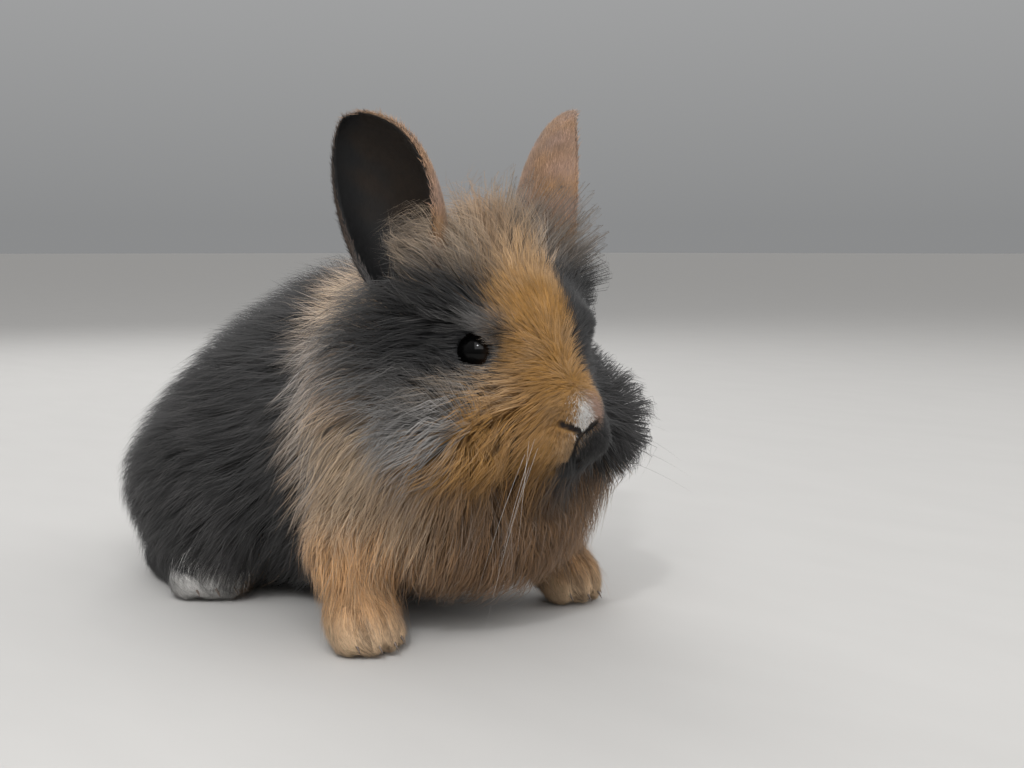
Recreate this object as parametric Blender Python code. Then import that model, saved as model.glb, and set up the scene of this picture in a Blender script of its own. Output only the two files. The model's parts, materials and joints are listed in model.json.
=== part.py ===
"""Dwarf rabbit, life size: a still museum model that sits with its head up and its forefeet apart.

Every node is a closed solid. The frame is metres with +Z up: the rabbit faces -Y, its left side is +X and its
soles stand on Z = 0. Sizes below are in millimetres and become metres when a mesh is made.

The coat's outer form is a set of round masses, each with the depth of the coat that covers it. A solid core
fills a share of that depth, and flat, tapered locks carry the form on to the tips of the long coat.
"""

import math
import random

import bmesh
import bpy
import numpy as np
from mathutils import Matrix, Vector
from mathutils.bvhtree import BVHTree
from mathutils.kdtree import KDTree

MM = 0.001
GAP = 0.34  # clearance that touching nodes keep
JACKET_SPREAD = 1.12  # points move a little further than faces do

# Share of the coat's depth that the solid core leaves open to the locks
OPEN_SHARE = 0.5

# Moves the whole model so that the frame's origin lies under the middle of its box
ORIGIN_SHIFT = (0.6, -64.2, 0.0)

# Middle between the eyes, and how far the head turns to the rabbit's right, nods and leans
EYES_MIDDLE = (0.0, -16.5, 86.0)
HEAD_YAW = -6.0
HEAD_PITCH = 0.0
HEAD_ROLL = 0.0

SHARP_ANGLE = 50.0  # edges that bend more than this stay sharp
FLOOR_CLEAR = 4.0  # the belly and the haunches stay this far above the soles


def head_turn():
    """Rotation of the head's own axes into the frame."""
    pitch = Matrix.Rotation(math.radians(HEAD_PITCH), 3, "X")
    roll = Matrix.Rotation(math.radians(HEAD_ROLL), 3, "Y")
    yaw = Matrix.Rotation(math.radians(HEAD_YAW), 3, "Z")
    return np.array(yaw @ roll @ pitch)


HEAD_TURN = head_turn()
NO_TURN = np.eye(3)
EVEN = (1, 1, 1)


def from_head(point):
    """A point given in the head's own axes, in the frame."""
    return HEAD_TURN @ np.array(point, float) + np.array(EYES_MIDDLE)


def in_head(points):
    """Points of the frame in the head's own axes."""
    return (points - np.array(EYES_MIDDLE)) @ HEAD_TURN


# Masses of each node: kind, places, sizes, depth of the coat, width of the blend with the ones before it.
# An egg has a centre, three radii and a turn, and a rod has two ends and the radius at each.
def egg(centre, radii, coat, blend, turn=NO_TURN):
    return ("egg", np.array(centre, float), np.array(radii, float), coat, blend, turn)


def rod(start, end, start_radius, end_radius, coat, blend):
    return ("rod", np.array((start, end), float), np.array((start_radius, end_radius)), coat, blend, NO_TURN)


def mirrored(mass):
    """The same mass on the other side of the middle."""
    kind, places, sizes, coat, blend, turn = mass
    flip = np.array((-1.0, 1.0, 1.0))
    return (kind, places * flip, sizes, coat, blend, np.diag(flip) @ turn @ np.diag(flip))


# Head masses are in the head's own axes, from the middle between the eyes
CRANIUM = egg((0, 8, 5), (21.5, 27, 22), 4, 0)
WOOL_CAP = egg((0, 14, 21), (25, 18, 24), 15, 8)
MUZZLE = rod((0, -3, -7), (0, -19, -16.5), 17.5, 11.5, 2.6, 8)
TEMPLE = egg((19, 15, 17), (15, 14, 17), 11, 12)
SIDE = egg((15, 23, -4), (20, 19, 24), 11, 10)
CHEEK = egg((22, 5, -23), (24, 24, 20), 13, 12)
BROW = egg((13, -4, 8), (8, 9, 5), 2.6, 5)
LIDS = egg((15, 0, 0), (7.8, 7.8, 7.8), 0, 2.5)
CHIN = egg((0, -13, -31), (9, 10, 7.5), 3, 5)
LIP_PAD = egg((6, -19.5, -23.5), (8.5, 9, 7.5), 2.4, 3)
NOSE = egg((0, -25.5, -16.5), (5.4, 4.6, 5.6), 0.8, 3)
HEAD = (CRANIUM, WOOL_CAP, TEMPLE, mirrored(TEMPLE), SIDE, mirrored(SIDE), MUZZLE, CHEEK, mirrored(CHEEK), BROW,
        mirrored(BROW), CHIN, LIP_PAD, mirrored(LIP_PAD), NOSE, LIDS, mirrored(LIDS))

# Torso, neck, legs and tail are in the frame's axes
BACK = egg((-2, 64, 54), (41, 48, 57), 13, 0)
LOINS = egg((-3, 97, 45), (46, 46, 51), 13, 14)
RUMP = egg((-3, 112, 33), (53, 56, 41), 14, 12)
SHOULDERS = egg((0, 34, 56), (46, 42, 48), 13, 16)
CHEST = egg((1, 6, 46), (45, 34, 35), 15, 12)
TORSO = (BACK, LOINS, RUMP, SHOULDERS, CHEST)

MANE = egg((0, 18, 72), (49, 30, 42), 17, 0)
NECK = (MANE,)

THIGH = egg((41, 97, 32), (17, 39, 33), 9, 0)
HAUNCH = (THIGH,)

HIND_SOLE = rod((39, 127, 8.0), (44, 94, 7.5), 9.5, 10.0, 3, 0)
HIND_TOE_SPREAD = ((-7.6, 0.5), (-2.6, -1.5), (2.6, 1.0), (7.4, 5.5))
HIND_TOES_AT = (45.0, 86.0, 6.0)
HIND_TOE = (4.6, 8.5, 6.0)

FORE_ARM = rod((30, 20, 30), (40, 12, 15), 11, 9.5, 3, 0)
SLEEVE = egg((36, 17, 31), (17, 16, 19), 10, 4)
FORE_PAW = egg((41.5, 7, 8.5), (10.8, 12, 9), 2, 4)
FORE_TOES_AT = (41.5, 7.0, 5.6)
FORE_TOE = (3.9, 6.4, 5.6)
FORE_TOE_SPREAD = ((-7.4, -3.4), (-2.5, -6.6), (2.6, -6.2), (7.2, -1.8))

SCUT = egg((-4, 161, 46), (13, 14, 18), 9, 0)
TAIL = (SCUT,)


def toes_at(place, spread):
    """Middles of the toes of the left foot of a pair."""
    return [(place[0] + dx, place[1] + dy, place[2]) for dx, dy in spread]


def hind_foot_masses():
    toes = [egg(middle, HIND_TOE, 1.5, 1.5) for middle in toes_at(HIND_TOES_AT, HIND_TOE_SPREAD)]
    return (HIND_SOLE, *toes)


def fore_leg_masses():
    toes = [egg(middle, FORE_TOE, 1.2, 1.2) for middle in toes_at(FORE_TOES_AT, FORE_TOE_SPREAD)]
    return (FORE_ARM, SLEEVE, FORE_PAW, *toes)


def egg_distance(points, centre, radii, turn):
    local = (points - centre) @ turn
    near = np.linalg.norm(local / radii, axis=1)
    slope = np.linalg.norm(local / radii**2, axis=1) + 1e-9
    return near * (near - 1.0) / slope


def rod_distance(points, ends, radii):
    along = ends[1] - ends[0]
    share = np.clip((points - ends[0]) @ along / (along @ along), 0.0, 1.0)
    centre = ends[0] + share[:, None] * along
    return np.linalg.norm(points - centre, axis=1) - (radii[0] + share * (radii[1] - radii[0]))


def melt(first, second, width):
    """Smooth union of two distances, rounded over a width."""
    share = np.clip(0.5 + 0.5 * (second - first) / width, 0.0, 1.0)
    return second + (first - second) * share - width * share * (1.0 - share)


def masses_distance(points, masses, share):
    """Distance to a set of masses, with a share of the coat's depth taken off."""
    total = None
    for kind, places, sizes, coat, blend, turn in masses:
        small = sizes - share * coat
        if kind == "egg":
            d = egg_distance(points, places, small, turn)
        else:
            d = rod_distance(points, places, small)
        total = d if total is None else melt(total, d, blend)
    return total


def above(points, distance, height):
    """The part of a form above a height, with its edge rounded."""
    return -melt(-distance, points[:, 2] - height, 4.0)


def head_form(points, share=OPEN_SHARE):
    return masses_distance(in_head(points), HEAD, share)


def torso_form(points, share=OPEN_SHARE):
    return above(points, masses_distance(points, TORSO, share), FLOOR_CLEAR)


def neck_form(points, share=OPEN_SHARE):
    return masses_distance(points, NECK, share)


def tail_form(points, share=OPEN_SHARE):
    return masses_distance(points, TAIL, share)


def side_form(masses, side, floor):
    """Form of a limb on one side, flat at a height where it meets the floor."""
    flip = np.array((side, 1.0, 1.0))

    def form(points, share=OPEN_SHARE):
        distance = masses_distance(points * flip, masses, share)
        if floor is None:
            return distance
        return np.maximum(distance, floor - points[:, 2])

    return form


def to_surface(form, points, height):
    """Moves points along a form's slope until they lie at a height over it."""
    points = np.array(points, float)
    for _ in range(4):
        slope = slope_of(form, points)
        points = points + slope * (height - form(points))[:, None]
    return points


def slope_of(form, points):
    """Direction straight out of a form at each point."""
    step = 0.4
    slope = np.zeros((len(points), 3))
    for i in range(3):
        offset = np.zeros(3)
        offset[i] = step
        slope[:, i] = form(points + offset) - form(points - offset)
    return slope / (np.linalg.norm(slope, axis=1)[:, None] + 1e-9)


def cast(form, origins, directions, reach):
    """Outermost point of a form along each ray, found by stepping in and halving."""
    steps = 100
    inner = np.zeros(len(origins))
    outer = np.full(len(origins), float(reach))
    done = np.zeros(len(origins), bool)
    for i in range(steps):
        t = reach * (1 - (i + 1) / steps)
        found = (form(origins + directions * t) < 0) & ~done
        inner[found] = t
        outer[found] = t + reach / steps
        done |= found
    for _ in range(16):
        middle = (inner + outer) / 2
        inside = form(origins + directions * middle[:, None]) < 0
        inner = np.where(inside, middle, inner)
        outer = np.where(inside, outer, middle)
    return origins + directions * ((inner + outer) / 2)[:, None]


def solid(name, points, faces):
    """A mesh object from points in millimetres."""
    mesh = bpy.data.meshes.new(name)
    mesh.from_pydata([tuple(float(c) * MM for c in p) for p in points], [], faces)
    mesh.update()
    thing = bpy.data.objects.new(name, mesh)
    bpy.context.scene.collection.objects.link(thing)
    return thing


def globe(detail):
    """Directions and faces of an even ball."""
    bm = bmesh.new()
    bmesh.ops.create_icosphere(bm, subdivisions=detail, radius=1.0)
    directions = np.array([v.co for v in bm.verts])
    faces = [[v.index for v in f.verts] for f in bm.faces]
    bm.free()
    return directions, faces


def moulded(name, form, centre, stretch=EVEN, weight_of=None):
    """A closed skin cast on a form from a point inside it, with the triangles stated for its kind."""
    detail, reach, triangles = MOULD[kind_of(name)]
    directions, faces = globe(detail)
    directions = unit(directions * np.array(stretch, float))
    origins = np.tile(np.array(centre, float), (len(directions), 1))
    thing = solid(name, cast(form, origins, directions, reach), faces)
    simplify(thing, triangles, weight_of)
    return thing


def kind_of(name):
    """Name of a node without its side."""
    return name.replace("_left", "").replace("_right", "")


def unit(vectors):
    return vectors / (np.linalg.norm(vectors, axis=-1, keepdims=True) + 1e-9)


def apply_modifiers(thing):
    depsgraph = bpy.context.evaluated_depsgraph_get()
    mesh = bpy.data.meshes.new_from_object(thing.evaluated_get(depsgraph))
    old = thing.data
    thing.modifiers.clear()
    thing.data = mesh
    bpy.data.meshes.remove(old)


def simplify(thing, triangles, weight_of=None):
    """Reduces a mesh to a number of triangles, and where a weight is given more of them where it is high."""
    count = sum(len(p.vertices) - 2 for p in thing.data.polygons)
    modifier = thing.modifiers.new("fewer", "DECIMATE")
    modifier.ratio = min(1.0, triangles / count)
    if weight_of:
        group = thing.vertex_groups.new(name="fewer")
        weights = weight_of(np.array([vertex.co for vertex in thing.data.vertices]) / MM)
        for i, weight in enumerate(weights):
            group.add([i], float(weight), "REPLACE")
        modifier.vertex_group = group.name
        modifier.vertex_group_factor = 1.0
    apply_modifiers(thing)
    thing.vertex_groups.clear()


def behind_face(points):
    """Weight that grows from the face to the back of the head, where fewer faces do."""
    local = in_head(points)
    return np.clip((local[:, 1] + 14.0) / 24.0, 0.12, 1.0)


def keep_largest(thing):
    """Drops every loose surface but the one with most faces."""
    bm = bmesh.new()
    bm.from_mesh(thing.data)
    left = set(bm.faces)
    best = set()
    while left:
        stack = [left.pop()]
        shell = set(stack)
        while stack:
            face = stack.pop()
            for edge in face.edges:
                for other in edge.link_faces:
                    if other in left:
                        left.remove(other)
                        shell.add(other)
                        stack.append(other)
        if len(shell) > len(best):
            best = shell
    bmesh.ops.delete(bm, geom=[f for f in bm.faces if f not in best], context="FACES")
    bm.to_mesh(thing.data)
    bm.free()


def cut(thing, cutters):
    """Takes each cutter out of a solid."""
    for cutter in cutters:
        modifier = thing.modifiers.new("cut", "BOOLEAN")
        modifier.operation = "DIFFERENCE"
        modifier.solver = "EXACT"
        modifier.object = cutter
        apply_modifiers(thing)
    keep_largest(thing)


def remove(things):
    for thing in things:
        bpy.data.objects.remove(thing)


def jacket(thing):
    """A copy of a solid with every face moved out by the gap."""
    mesh = thing.data.copy()
    moved = [vertex.co + vertex.normal * GAP * JACKET_SPREAD * MM for vertex in mesh.vertices]
    for vertex, place in zip(mesh.vertices, moved):
        vertex.co = place
    copy = bpy.data.objects.new("jacket", mesh)
    bpy.context.scene.collection.objects.link(copy)
    return copy


# Ball of the eye, its lids and the opening between them, in the head's own axes
EYE_AT = (15.0, 0.0, 0.0)
EYE_RADIUS = 6.6
EYE_AXIS = (0.93, -0.30, 0.14)
LID_OPENING = (47.0, 44.0)  # half angles of the opening, up and along, from the middle of the ball
LID_CORNER = 7.0  # how much further the opening reaches at its two corners

# Ear: its root and tip in the head's own axes, and the way its cup opens
EAR_ROOT = (18.5, 25.0, 14.0)
EAR_TIP = {"left": (37.4, 24.0, 72.0), "right": (-42.0, 26.0, 67.5)}
EAR_OPENS = (0.92, -0.39, 0.05)
EAR_HALF_SHEET = 23.2  # half of the ear's width when it is unrolled
EAR_FRONT_WIDER = 1.38  # the front half bulges this much more
EAR_WIDEST = 0.33  # where that is, as a share of the length
EAR_ROLL = (128.0, 44.0)  # half angle of the roll at the root and at the tip
EAR_SHEET = (2.8, 1.5)  # thickness of the sheet at the root and at the tip
EAR_STATIONS = 10
EAR_ACROSS = 7

# Grooves in the head, as points over its surface in the head's own axes
PHILTRUM = ((0, -31, -19.5), (0, -30, -22.5), (0, -28, -26), (0, -26, -28.5))
MOUTH_SIDE = ((0.2, -26.5, -28), (3, -24.5, -29), (6.2, -21, -30), (9.2, -16, -30), (11.5, -11, -28.5))
NOSTRIL = ((0.9, -31, -19.6), (2.6, -30.5, -18.6), (4.6, -29, -17.0), (6.0, -27.5, -15.0))


def rolled_sheet(name, root, tip, opens, front_edge):
    """A closed leaf rolled into a cup from its root to its tip, fuller towards its front edge."""
    root, tip = np.array(root, float), np.array(tip, float)
    along = (tip - root) / np.linalg.norm(tip - root)
    front = np.array(opens, float)
    front -= along * (front @ along)
    front /= np.linalg.norm(front)
    across = np.cross(along, front)
    rings = []
    for i in range(EAR_STATIONS):
        t = i / (EAR_STATIONS - 1)
        t = 0.985 * (1 - (1 - t) ** 1.35)
        past = max(0.0, (t - EAR_WIDEST) / (1 - EAR_WIDEST))
        before = max(0.0, 1 - t / EAR_WIDEST)
        sheet = EAR_HALF_SHEET * (1 - past**1.9) ** 0.62 * (1 - 0.35 * before**2)
        roll = math.radians(EAR_ROLL[0] + (EAR_ROLL[1] - EAR_ROLL[0]) * t)
        radius = sheet / roll
        thick = EAR_SHEET[0] + (EAR_SHEET[1] - EAR_SHEET[0]) * t
        bow = front * (-4.0 * math.sin(math.pi * t))
        centre = root + (tip - root) * t + bow + front * radius * 0.6
        ring = []
        outside = (radius, range(EAR_ACROSS + 1))
        inside_out = (radius - thick, range(EAR_ACROSS, -1, -1))
        for side_radius, turns in (outside, inside_out):
            for j in turns:
                angle = roll * (2 * j / EAR_ACROSS - 1)
                reach = max(side_radius, 0.3 * radius)
                wide = reach * math.sin(angle)
                if wide * front_edge > 0:
                    wide *= EAR_FRONT_WIDER
                ring.append(centre + across * wide - front * reach * math.cos(angle))
        rings.append(ring)
    return lofted(name, rings)


def lofted(name, rings):
    """A closed solid through rings of equal counts, capped at both ends."""
    count = len(rings[0])
    points = [p for ring in rings for p in ring]
    faces = []
    for i in range(len(rings) - 1):
        a, b = i * count, (i + 1) * count
        for j in range(count):
            k = (j + 1) % count
            faces.append((a + j, a + k, b + k, b + j))
    thing = solid(name, points, faces)
    bm = bmesh.new()
    bm.from_mesh(thing.data)
    bmesh.ops.holes_fill(bm, edges=[e for e in bm.edges if e.is_boundary], sides=0)
    bmesh.ops.triangulate(bm, faces=bm.faces)
    bmesh.ops.recalc_face_normals(bm, faces=bm.faces)
    bm.to_mesh(thing.data)
    bm.free()
    return thing


def groove(points, sizes):
    """A round-bottomed cutter along points laid on the head, open to the air above it."""
    first, last, sink = sizes
    places = np.array([from_head(p) for p in points])
    places = to_surface(head_form, places, -sink)
    out = slope_of(head_form, places)
    rings = []
    for i, place in enumerate(places):
        ahead = places[min(i + 1, len(places) - 1)] - places[max(i - 1, 0)]
        ahead = ahead / np.linalg.norm(ahead)
        across = np.cross(ahead, out[i])
        across /= np.linalg.norm(across)
        up = np.cross(across, ahead)
        radius = first + (last - first) * i / (len(places) - 1)
        ring = []
        for x, z in ((-1, 0), (-0.7, -0.8), (0.7, -0.8), (1, 0), (1.5, 2.2), (-1.5, 2.2)):
            ring.append(place + radius * (across * x + up * z))
        rings.append(ring)
    return lofted("groove", rings)


def opening_of_lids(side):
    """A cone from the middle of the eye out through the gap between the lids."""
    centre = np.array((side * EYE_AT[0], EYE_AT[1], EYE_AT[2]), float)
    axis = np.array((side * EYE_AXIS[0], EYE_AXIS[1], EYE_AXIS[2]))
    axis /= np.linalg.norm(axis)
    along = np.cross(axis, (0, 0, 1.0))
    along /= np.linalg.norm(along)
    up = np.cross(along, axis)
    depth = EYE_RADIUS * 2.4
    sides = 18
    points = [from_head(centre)]
    for i in range(sides):
        angle = 2 * math.pi * i / sides
        wide = LID_OPENING[1] + LID_CORNER * abs(math.cos(angle)) ** 5
        reach = math.radians(math.hypot(LID_OPENING[0] * math.sin(angle), wide * math.cos(angle)))
        out = axis * math.cos(reach) + (along * math.cos(angle) + up * math.sin(angle)) * math.sin(reach)
        points.append(from_head(centre + out * depth))
    points.append(from_head(centre + axis * depth))
    faces = []
    for i in range(sides):
        k = (i + 1) % sides
        faces.append((0, 1 + k, 1 + i))
        faces.append((1 + i, 1 + k, sides + 1))
    thing = solid("opening", points, faces)
    face_out(thing)
    return thing


def face_out(thing):
    bm = bmesh.new()
    bm.from_mesh(thing.data)
    bmesh.ops.recalc_face_normals(bm, faces=bm.faces)
    bm.to_mesh(thing.data)
    bm.free()


def sphere(name, centre, radius, detail):
    directions, faces = globe(detail)
    return solid(name, directions * radius + np.array(centre), faces)


def flatten_soles(thing):
    """Brings the points that lie within reach of the floor to it."""
    for vertex in thing.data.vertices:
        if vertex.co.z < 0.3 * MM:
            vertex.co.z = 0.0


# A lock is a flat, tapered strip of sections and a tip. Each section has a place along the lock, a share of
# its width, a share of its thickness and how far it has risen from the core, at 0, to the coat's form, at 1.
CURVED = ((0.0, 0.80, 1.0, 0.0), (0.20, 1.0, 1.0, 0.34), (0.62, 0.78, 0.62, 0.78))
PLAIN = ((0.0, 0.85, 1.0, 0.0), (0.46, 1.0, 0.75, 0.58))
ROOT_DEPTH = 2.2  # how deep the root sits in the core
LOCK_THICKNESS = 2.5
LOCK_SEED = 7
EYE_CLEAR = 11.0  # no lock comes nearer to the middle of an eye
TIP_REACH = 1.2  # tips pass the coat's form by this much
TIPS_RISE = (0.85, 1.2)  # between these shares of the coat's depth
LENGTHS = (0.85, 1.15)
WIDTHS = (0.85, 1.15)
SWERVE = 0.35  # how far a lock may turn out of the lie, as a slope
TOUCH = 0.001  # corners nearer than this would be welded
CLAW_RADIUS = 1.0
CLAW_LENGTH = 4.6
CLAW_DROP = 2.2
LOCK_CLEAR = GAP + 0.1  # what a lock keeps from every other node
LOWEST_TIP = 2.0  # tips stay this far above the soles
GOLDEN_TURN = math.pi * (3 - math.sqrt(5))

LIE_STARTS = (0.0, -26.0, -6.0)  # the face's coat runs away from here, in the head's own axes


def body_form(points, share):
    """Distance to the whole animal, with a share of the coat's depth taken off."""
    total = melt(head_form(points, share), neck_form(points, share), 6.0)
    total = melt(total, torso_form(points, share), 6.0)
    total = melt(total, tail_form(points, share), 4.0)
    for limb in LIMBS:
        total = melt(total, limb(points, share), 4.0)
    return total


def core_of_body(points):
    return body_form(points, OPEN_SHARE)


def blended(first, second, share):
    return unit(first * (1 - share[:, None]) + second * share[:, None])


def head_lie(points):
    """The head's coat runs away from the nose, and up and back on the crown."""
    local = in_head(points)
    away = unit(local - np.array(LIE_STARTS)) + np.array((0, 0.25, -0.35))
    crown = np.stack((local[:, 0] * 0.035, np.full(len(local), 0.6), np.full(len(local), 0.75)), axis=1)
    return blended(away, crown, np.clip((local[:, 2] - 4.0) / 10.0, 0.0, 1.0)) @ HEAD_TURN.T


def mane_lie(points):
    """The mane runs out from the head, back over the nape and down the throat."""
    away = unit(points - from_head((0, 0, 0))) * (0.9, 1.0, 0.5)
    return unit(away + np.array((0, 0.25, -0.55)))


def body_lie(points):
    """The coat hangs down on the chest and runs back on the flanks, and down towards belly and rump."""
    low = np.clip((95.0 - points[:, 2]) / 60.0, 0.0, 1.0)
    behind = np.clip((points[:, 1] - 110.0) / 50.0, 0.0, 1.0)
    down = -(0.25 + 0.75 * low + 0.9 * behind)
    level = np.zeros(len(points))
    flank = unit(np.stack((level, 1.0 - 0.6 * behind, down), axis=1))
    chest = unit(np.stack((points[:, 0] * 0.008, level + 0.12, level - 1.0), axis=1))
    return blended(chest, flank, np.clip((points[:, 1] - 22.0) / 24.0, 0.0, 1.0))


def golden(count):
    """Directions spread evenly over a ball."""
    z = 1 - (2 * np.arange(count) + 1) / count
    turn = GOLDEN_TURN * np.arange(count)
    flat = np.sqrt(1 - z * z)
    return np.stack((flat * np.cos(turn), flat * np.sin(turn), z), axis=1)


def shares(dice, limits, count):
    return np.array([dice.uniform(*limits) for _ in range(count)])


def lock_paths(form, centre, stretch, count, keep, lie, length, sections, dice):
    """Roots spread over a form's core where keep holds, and from each the line that its lock follows."""
    directions = unit(golden(count) * np.array(stretch, float))
    here = cast(form, np.tile(np.array(centre, float), (count, 1)), directions, 150)
    here = here[keep(here)]
    lengths = length * shares(dice, LENGTHS, len(here))
    swerves = shares(dice, (-SWERVE, SWERVE), len(here))
    rises = shares(dice, TIPS_RISE, len(here))
    stations = [to_surface(form, here, -ROOT_DEPTH)]
    before = 0.0
    for place, _, _, risen in (*sections[1:], (1.0, 0, 0, 1.0)):
        out = slope_of(core_of_body, here)
        way = lie(here)
        way = unit(way - out * np.sum(way * out, axis=1, keepdims=True))
        way = unit(way + np.cross(way, out) * (swerves * place)[:, None])
        here = here + way * (lengths * (place - before))[:, None]
        for _ in range(3):
            share = risen * rises
            off = (1 - share) * core_of_body(here) + share * body_form(here, 0.0) - TIP_REACH * risen
            here = here - slope_of(core_of_body, here) * off[:, None]
        here[:, 2] = np.maximum(here[:, 2], LOWEST_TIP + 1.5 * (1 - place))
        stations.append(here)
        before = place
    return np.stack(stations, axis=1)


def lock_mesh(path, width, sections, fatter):
    """Points and faces of one lock along its path, larger all round by an amount."""
    out = slope_of(core_of_body, path)
    points = []
    for i, (_, wide, thick, _) in enumerate(sections):
        ahead = unit(path[i + 1] - path[max(i - 1, 0)])
        across = unit(np.cross(ahead, out[i]))
        up = np.cross(across, ahead)
        half = width * wide / 2 + fatter
        points.append(path[i] - across * half - up * fatter)
        points.append(path[i] + up * (LOCK_THICKNESS * thick + fatter))
        points.append(path[i] + across * half - up * fatter)
    points.append(path[-1] + unit(path[-1] - path[-2]) * fatter)
    faces = [(0, 1, 2)]
    last = 3 * (len(sections) - 1)
    for j in range(3):
        k = (j + 1) % 3
        for a in range(0, last, 3):
            faces.append((a + j, a + 3 + j, a + 3 + k))
            faces.append((a + j, a + 3 + k, a + k))
        faces.append((last + j, len(points) - 1, last + k))
    return points, faces


def claws_of(middles, radii, side):
    """Claws of one foot, each from inside the tip of a toe, forwards and down."""
    pieces = []
    for x, y, z in middles:
        start = np.array((side * x, y - radii[1] * 0.78, z - 0.6))
        tip = start + np.array((0.0, -CLAW_LENGTH, -CLAW_DROP))
        ring = [(-1, 0, 0), (0, 0, 1), (1, 0, 0), (0, 0, -1)]
        points = [start + CLAW_RADIUS * np.array(corner) for corner in ring] + [tip]
        faces = [(0, 1, 2), (0, 2, 3), (0, 4, 1), (1, 4, 2), (2, 4, 3), (3, 4, 0)]
        pieces.append(solid("claw", points, faces))
        face_out(pieces[-1])
    return pieces


def tree_of(thing):
    """Search tree of a node's faces, in millimetres."""
    points = [vertex.co / MM for vertex in thing.data.vertices]
    return BVHTree.FromPolygons(points, [tuple(face.vertices) for face in thing.data.polygons])


def locks_clear_of(others, paths, width, sections, dice):
    """The locks along the paths, less those that would come too near another node."""
    pieces = []
    for path, share in zip(paths, shares(dice, WIDTHS, len(paths))):
        points, faces = lock_mesh(path, width * share, sections, LOCK_CLEAR)
        fat = BVHTree.FromPolygons([Vector(p) for p in points], faces)
        if not any(fat.overlap(other) for other in others):
            pieces.append(solid("lock", *lock_mesh(path, width * share, sections, 0.0)))
            face_out(pieces[-1])
    return pieces


def touching_place(thing):
    """A place where two corners of a mesh fall together, or None."""
    points = [vertex.co / MM for vertex in thing.data.vertices]
    tree = KDTree(len(points))
    for i, point in enumerate(points):
        tree.insert(point, i)
    tree.balance()
    for i, point in enumerate(points):
        if len(tree.find_range(point, TOUCH)) > 1:
            return point
    return None


def unite(thing, pieces):
    """One union of a node with its pieces, less any piece that would make the solid touch itself."""
    alone = thing.data.copy()
    while True:
        bundle = bpy.data.collections.new("bundle")
        bpy.context.scene.collection.children.link(bundle)
        for piece in pieces:
            bundle.objects.link(piece)
        modifier = thing.modifiers.new("unite", "BOOLEAN")
        modifier.operation = "UNION"
        modifier.solver = "MANIFOLD"
        modifier.operand_type = "COLLECTION"
        modifier.collection = bundle
        apply_modifiers(thing)
        bpy.data.collections.remove(bundle)
        keep_largest(thing)
        place = touching_place(thing)
        if place is None:
            break
        nearest = min(pieces, key=lambda piece: tree_of(piece).find_nearest(place)[3])
        pieces = [piece for piece in pieces if piece is not nearest]
        remove([nearest])
        thing.data = alone.copy()
    remove(pieces)


for old in list(bpy.data.objects):
    bpy.data.objects.remove(old)

# How each kind is moulded: fineness of the ball of rays, how far they reach and the triangles that are kept
MOULD = {
    "head": (6, 75, 1350),
    "neck": (4, 80, 300),
    "torso": (5, 140, 560),
    "tail": (3, 30, 320),
    "haunch": (4, 60, 200),
    "hind_foot": (5, 60, 340),
    "fore_leg": (5, 60, 360),
}
EYE_TRIANGLES = 230
EYE_DETAIL = 3
SOCKET_DETAIL = 2
SOCKET_SPARE = 0.26  # the socket's coarser faces cut this much further in than its points
MOUTH_SIZES = (0.8, 0.6, 0.5)  # radius at the two ends of a groove, and how far it is sunk
NOSTRIL_SIZES = (0.9, 0.6, 0.7)
PHILTRUM_SIZES = (0.5, 0.6, 0.4)

# Points that rays are cast from, inside each node, and their spread where a node is long
HEAD_CORE = from_head((0, 2, -6))
TORSO_CORE = (0, 62, 46)
HAUNCH_CORE = np.array((41.0, 97.0, 34.0))
FOOT_CORE = np.array((42.0, 104.0, 8.0))
LEG_CORE = np.array((40.0, 10.0, 14.0))
TORSO_STRETCH = (1, 1.4, 1)
FOOT_STRETCH = (1, 2.2, 0.8)
LIMBS = [side_form(masses, side, floor) for side in (1, -1)
         for masses, floor in ((HAUNCH, FLOOR_CLEAR), (hind_foot_masses(), 0), (fore_leg_masses(), 0))]

# Every form is moulded whole before the first cut, so that each jacket has the faces of the solid in it
head = moulded("head", head_form, HEAD_CORE, weight_of=behind_face)
neck = moulded("neck", neck_form, MANE[1])
torso = moulded("torso", torso_form, TORSO_CORE, TORSO_STRETCH)
tail = moulded("tail", tail_form, SCUT[1])
sides = {}
for tag, side in (("left", 1), ("right", -1)):
    flip = np.array((side, 1, 1))
    haunch = moulded("haunch_" + tag, side_form(HAUNCH, side, FLOOR_CLEAR), HAUNCH_CORE * flip)
    foot = moulded("hind_foot_" + tag, side_form(hind_foot_masses(), side, 0), FOOT_CORE * flip, FOOT_STRETCH)
    leg = moulded("fore_leg_" + tag, side_form(fore_leg_masses(), side, 0), LEG_CORE * flip)
    flatten_soles(foot)
    flatten_soles(leg)
    sides[tag] = (side, haunch, foot, leg)

head_jacket = jacket(head)
neck_jacket = jacket(neck)
torso_jacket = jacket(torso)
cut(torso, [head_jacket, neck_jacket])
cut(neck, [head_jacket])
cut(tail, [torso_jacket])
for tag, (side, haunch, foot, leg) in sides.items():
    jackets = [jacket(haunch), jacket(foot), jacket(leg)]
    cut(torso, jackets)
    cut(neck, [jackets[2]])
    cut(haunch, [jackets[1]])
    cut(leg, [head_jacket])
    remove(jackets)

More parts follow.
